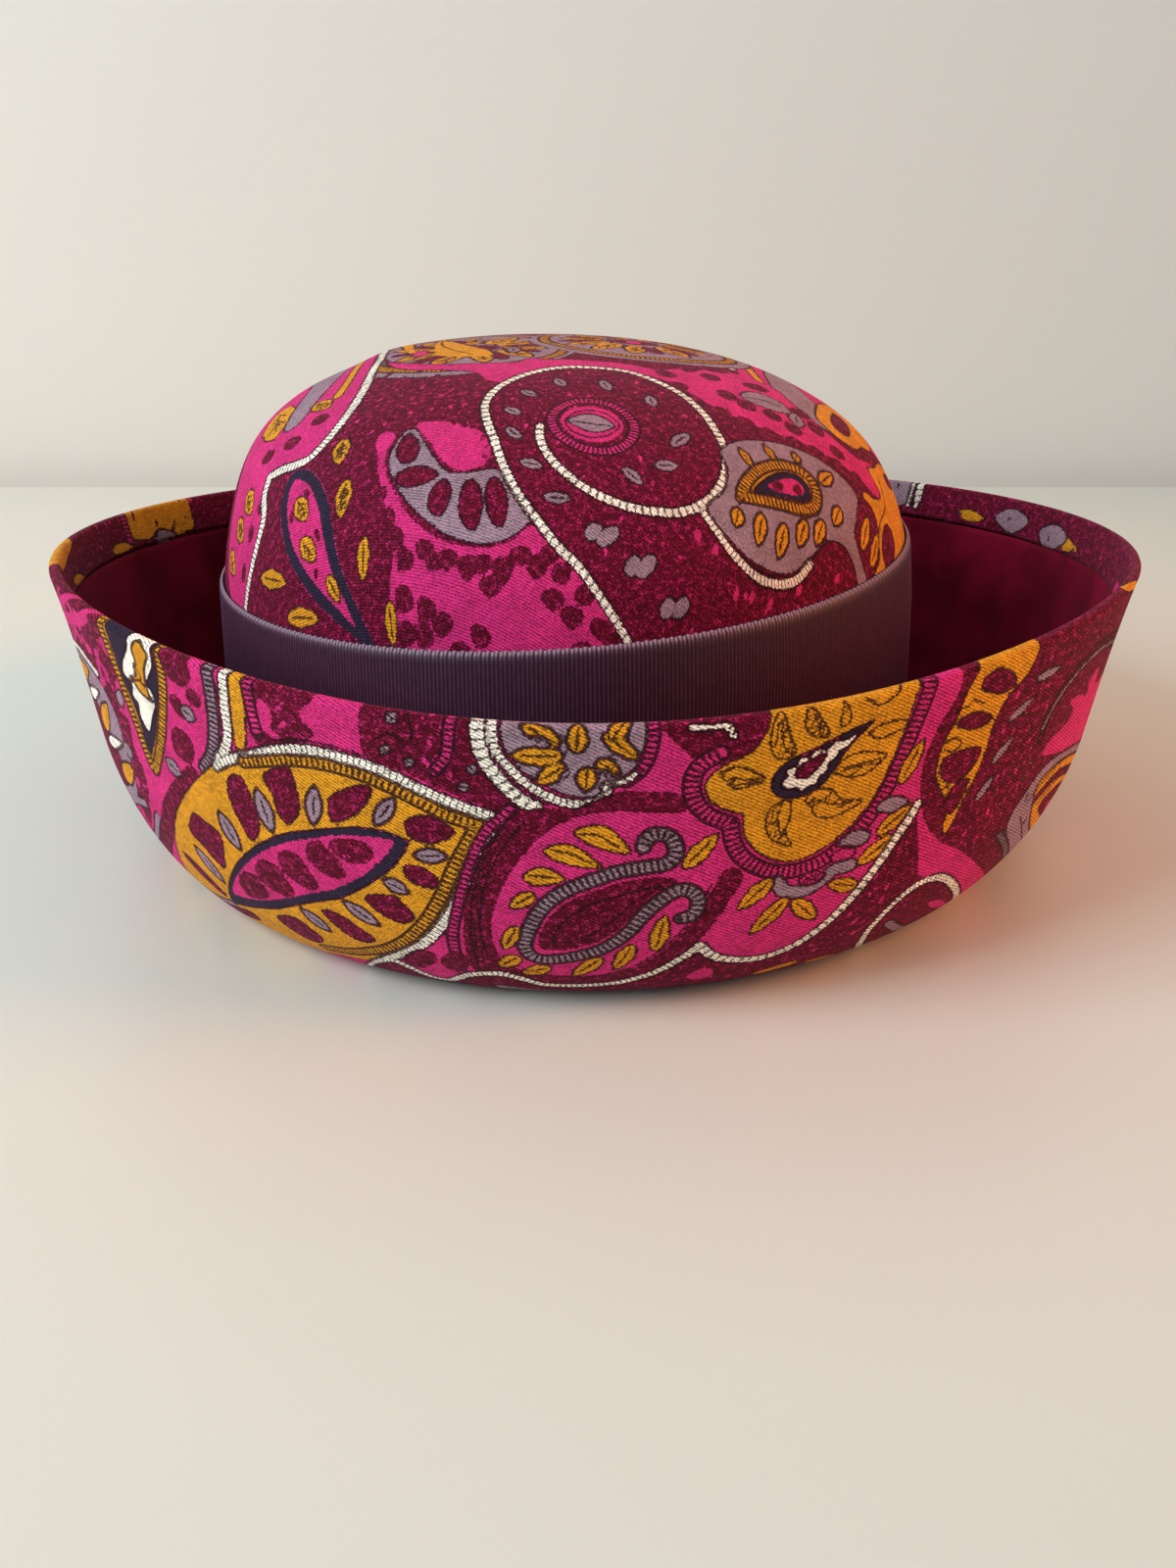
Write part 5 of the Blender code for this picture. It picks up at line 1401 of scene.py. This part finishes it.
def printed_wool(name):
    """Mixes the inks where their depths pass zero, draws outlines where |depth| is small, rungs where the
    band's turn has a small remainder, and lines where |side| is small, then adds the twill."""
    material, tree = new_material(name)
    chart = add(tree, "UVMap", uv_map="cloth")
    noise = {}
    for what, (scale, detail, roughness) in CLOTH_NOISES.items():
        inputs = {"Vector": chart, "Scale": scale, "Detail": detail, "Roughness": roughness}
        noise[what] = add(tree, "TexNoise", inputs)
    kept = {what: (add(tree, "Attribute", attribute_name=what), "Fac") for what in KEPT_NUMBERS}
    shift = add(tree, "MapRange", [noise["wobble"], 0.3, 0.7, -0.2, 0.24], **SMOOTH)

    # Inks on the pink ground. Burgundy is thin in places and lets some pink threads through
    inks = {ink: linear(colour) for ink, colour in PRINT_COLOURS.items()}
    thin = add(tree, "Math", [noise["threads"], noise["blotches"]], operation="ADD")
    thin = add(tree, "MapRange", [thin, 0.98, 1.36, 0.0, 0.8], **SMOOTH)
    uneven_ink = {"Factor": thin, "A": inks["burgundy"], "B": inks["pink"]}
    inks["burgundy"] = add(tree, "Mix", uneven_ink, **COLOURS)
    depth, mask, colour = {}, {}, inks["pink"]
    for ink in INKS:
        depth[ink] = add(tree, "Math", [kept[ink], shift], operation="ADD")
        mask[ink] = add(tree, "MapRange", [depth[ink], -0.08, 0.08, 0.0, 1.0], **SMOOTH)
        colour = add(tree, "Mix", {"Factor": mask[ink], "A": colour, "B": inks[ink]}, **COLOURS)

    # Dark outlines round three of the inks
    darks = []
    for ink, outside, none, full in OUTLINES:
        apart = add(tree, "Math", [depth[ink], outside], operation="ADD")
        apart = add(tree, "Math", [apart], operation="ABSOLUTE")
        darks.append(add(tree, "MapRange", [apart, none, full, 0.0, 1.0], **SMOOTH))
    # Thin lines
    side = add(tree, "Math", [kept["line_side"], shift], operation="ADD")
    side = add(tree, "Math", [side], operation="ABSOLUTE")
    line = add(tree, "MapRange", [side, 0.34, 0.17, 0.0, 1.0], **SMOOTH)
    gate = add(tree, "MapRange", [kept["line_gate"], 0.0, 0.1, 0.0, 1.0], **SMOOTH)
    darks.append(add(tree, "Math", [line, gate], operation="MULTIPLY"))
    # Rungs across the bands, narrow between cream stitches, and a rail at each side of the others
    turn = add(tree, "Math", [shift, 0.7, kept["rung_turn"]], operation="MULTIPLY_ADD")
    turn = add(tree, "Math", [turn], operation="FRACT")
    apart = add(tree, "Math", [turn, 0.5], operation="SUBTRACT")
    apart = add(tree, "Math", [apart], operation="ABSOLUTE")
    not_cream = add(tree, "Math", [1.0, mask["cream"]], operation="SUBTRACT")
    apart = add(tree, "Math", [not_cream, -0.13, apart], operation="MULTIPLY_ADD")
    rung = add(tree, "MapRange", [apart, 0.19, 0.07, 0.0, 1.0], **SMOOTH)
    edge = add(tree, "Math", [kept["rung_edge"]], operation="ABSOLUTE")
    rail = add(tree, "MapRange", [edge, 0.44, 0.26, 0.0, 1.0], **SMOOTH)
    rail = add(tree, "Math", [rail, not_cream], operation="MULTIPLY")
    ladder = add(tree, "Math", [rung, rail], operation="MAXIMUM")
    gate = add(tree, "MapRange", [kept["rung_gate"], 0.0, 0.08, 0.0, 1.0], **SMOOTH)
    darks.append(add(tree, "Math", [ladder, gate], operation="MULTIPLY"))
    # The darkest of them all is printed, a little worn on the lighter threads
    dark = darks[0]
    for other in darks[1:]:
        dark = add(tree, "Math", [dark, other], operation="MAXIMUM")
    worn = add(tree, "MapRange", [noise["threads"], 0.75, 0.45, 0.68, 0.95], **SMOOTH)
    dark = add(tree, "Math", [dark, worn], operation="MULTIPLY")
    colour = add(tree, "Mix", {"Factor": dark, "A": colour, "B": inks["line"]}, **COLOURS)

    # Heathered threads: lighter and darker specks along the twill
    slant = add(tree, "Mapping", {"Vector": chart, "Rotation": (0.0, 0.0, TWILL_SLANT)})
    waves = {"Vector": slant, "Scale": TWILL_SCALE, "Distortion": 1.8, "Detail": 2.0, "Detail Scale": 1.5}
    twill = (add(tree, "TexWave", waves, bands_direction="Y"), "Fac")
    lightness = 0.0
    heather = ((noise["threads"], 0.9), (twill, 0.2), (noise["patches"], 0.2), (noise["blotches"], 0.35))
    for uneven, share in heather:
        lightness = add(tree, "Math", [uneven, share, lightness], operation="MULTIPLY_ADD")
    value = add(tree, "MapRange", [lightness, 0.62, 1.04, 0.42, 1.6], **SMOOTH)
    shaded = add(tree, "HueSaturation", {"Color": colour, "Value": value})
    height = add(tree, "Math", [twill, 0.6, noise["threads"]], operation="MULTIPLY_ADD")
    bump = add(tree, "Bump", {"Height": height, "Strength": 0.5, "Distance": TWILL_DEPTH})
    cloth = {
        "Base Color": shaded,
        "Normal": bump,
        "Roughness": 0.88,
        "Specular IOR Level": 0.12,
        "Sheen Weight": 0.05,
        "Sheen Roughness": 0.45,
        "Sheen Tint": linear("#F3C4DA"),
    }
    add(tree, "OutputMaterial", {"Surface": add(tree, "BsdfPrincipled", cloth)})
    return material


crown.data.materials.append(printed_wool("printed wool of the crown"))
brim.data.materials.append(printed_wool("printed wool of the brim"))
print("print colours:", PRINT_COLOURS)

# %% [markdown]
# ## Velvet
#
# The lining is a thin burgundy velveteen. Its short pile gives the eye a deep, saturated colour that
# pales where it is seen edge on, with soft patches where it has been stroked. Stroked patches are about
# 22 mm wide, and tufts are drawn 0.7 mm wide, coarser than real ones, so that they show.

# %% Velveteen lining
PATCHES_PER_M, TUFTS_PER_M, PILE_DEPTH = 45.0, 1500.0, 0.0001

velvet, tree = new_material("burgundy velveteen")
place = (add(tree, "TexCoord"), "Object")
patches = {"Vector": place, "Scale": PATCHES_PER_M, "Detail": 3.0, "Roughness": 0.55}
stroked = add(tree, "MapRange", [add(tree, "TexNoise", patches), 0.35, 0.68, 0.0, 1.0], **SMOOTH)
pile = add(tree, "TexNoise", {"Vector": place, "Scale": TUFTS_PER_M, "Detail": 2.0})
shade = add(tree, "MapRange", [pile, 0.5, 0.72, 0.0, 0.35], **SMOOTH)
tint = add(tree, "Mix", {"Factor": stroked, "A": linear("#5C041A"), "B": linear("#7E0A2C")}, **COLOURS)
tint = add(tree, "Mix", {"Factor": shade, "A": tint, "B": linear("#4A0416")}, **COLOURS)
velveteen = {
    "Base Color": tint,
    "Normal": add(tree, "Bump", {"Height": pile, "Strength": 0.3, "Distance": PILE_DEPTH}),
    "Roughness": 0.95,
    "Specular IOR Level": 0.1,
    "Sheen Weight": 0.35,
    "Sheen Roughness": 0.35,
    "Sheen Tint": linear("#C23A60"),
}
add(tree, "OutputMaterial", {"Surface": add(tree, "BsdfPrincipled", velveteen)})
lining.data.materials.append(velvet)
print("lining:", velvet.name)

# %% [markdown]
# ## Grosgrain
#
# The ribbon is plum grosgrain, a ribbed rayon weave. It gives the eye pale lines on the crests of its
# ribs, dark grooves between them and a small bright loop at the end of each pair of ribs. The mesh holds
# the ribs, so the material only colours them by the numbers kept on it, with a painted highlight on each
# crest and painted shade in each groove.

# %% Grosgrain ribbon
SLUBS_PER_M = 600.0

grosgrain, tree = new_material("plum grosgrain ribbon")
place = (add(tree, "TexCoord"), "Object")
slubs = add(tree, "TexNoise", {"Vector": place, "Scale": SLUBS_PER_M, "Detail": 2.0})
slubs = add(tree, "MapRange", [slubs, 0.3, 0.6, 0.5, 1.0], **SMOOTH)
# Painted highlight on the ribs' crests and painted shade in their grooves, made a little uneven by the
# slubs
crest = (add(tree, "Attribute", attribute_name="crest"), "Fac")
crest = add(tree, "MapRange", [crest, 0.35, 1.0, 0.0, 1.0], **SMOOTH)
crest = add(tree, "Math", [crest, slubs], operation="MULTIPLY")
selvedge = (add(tree, "Attribute", attribute_name="selvedge"), "Fac")
selvedge = add(tree, "MapRange", [selvedge, 0.2, 0.9, 0.0, 1.0], **SMOOTH)
# Plum darkened as painted shade in the grooves, and a paler plum as a painted highlight on the crests
tint = add(tree, "Mix", {"Factor": crest, "A": linear("#2C1020"), "B": linear("#553048")}, **COLOURS)
tint = add(tree, "Mix", {"Factor": selvedge, "A": tint, "B": linear("#A5889B")}, **COLOURS)
rayon = {
    "Base Color": tint,
    "Roughness": 0.5,
    "Specular IOR Level": 0.4,
    "Sheen Weight": 0.14,
    "Sheen Tint": linear("#B48CC0"),
}
add(tree, "OutputMaterial", {"Surface": add(tree, "BsdfPrincipled", rayon)})
ribbon.data.materials.append(grosgrain)
print("ribbon:", grosgrain.name)
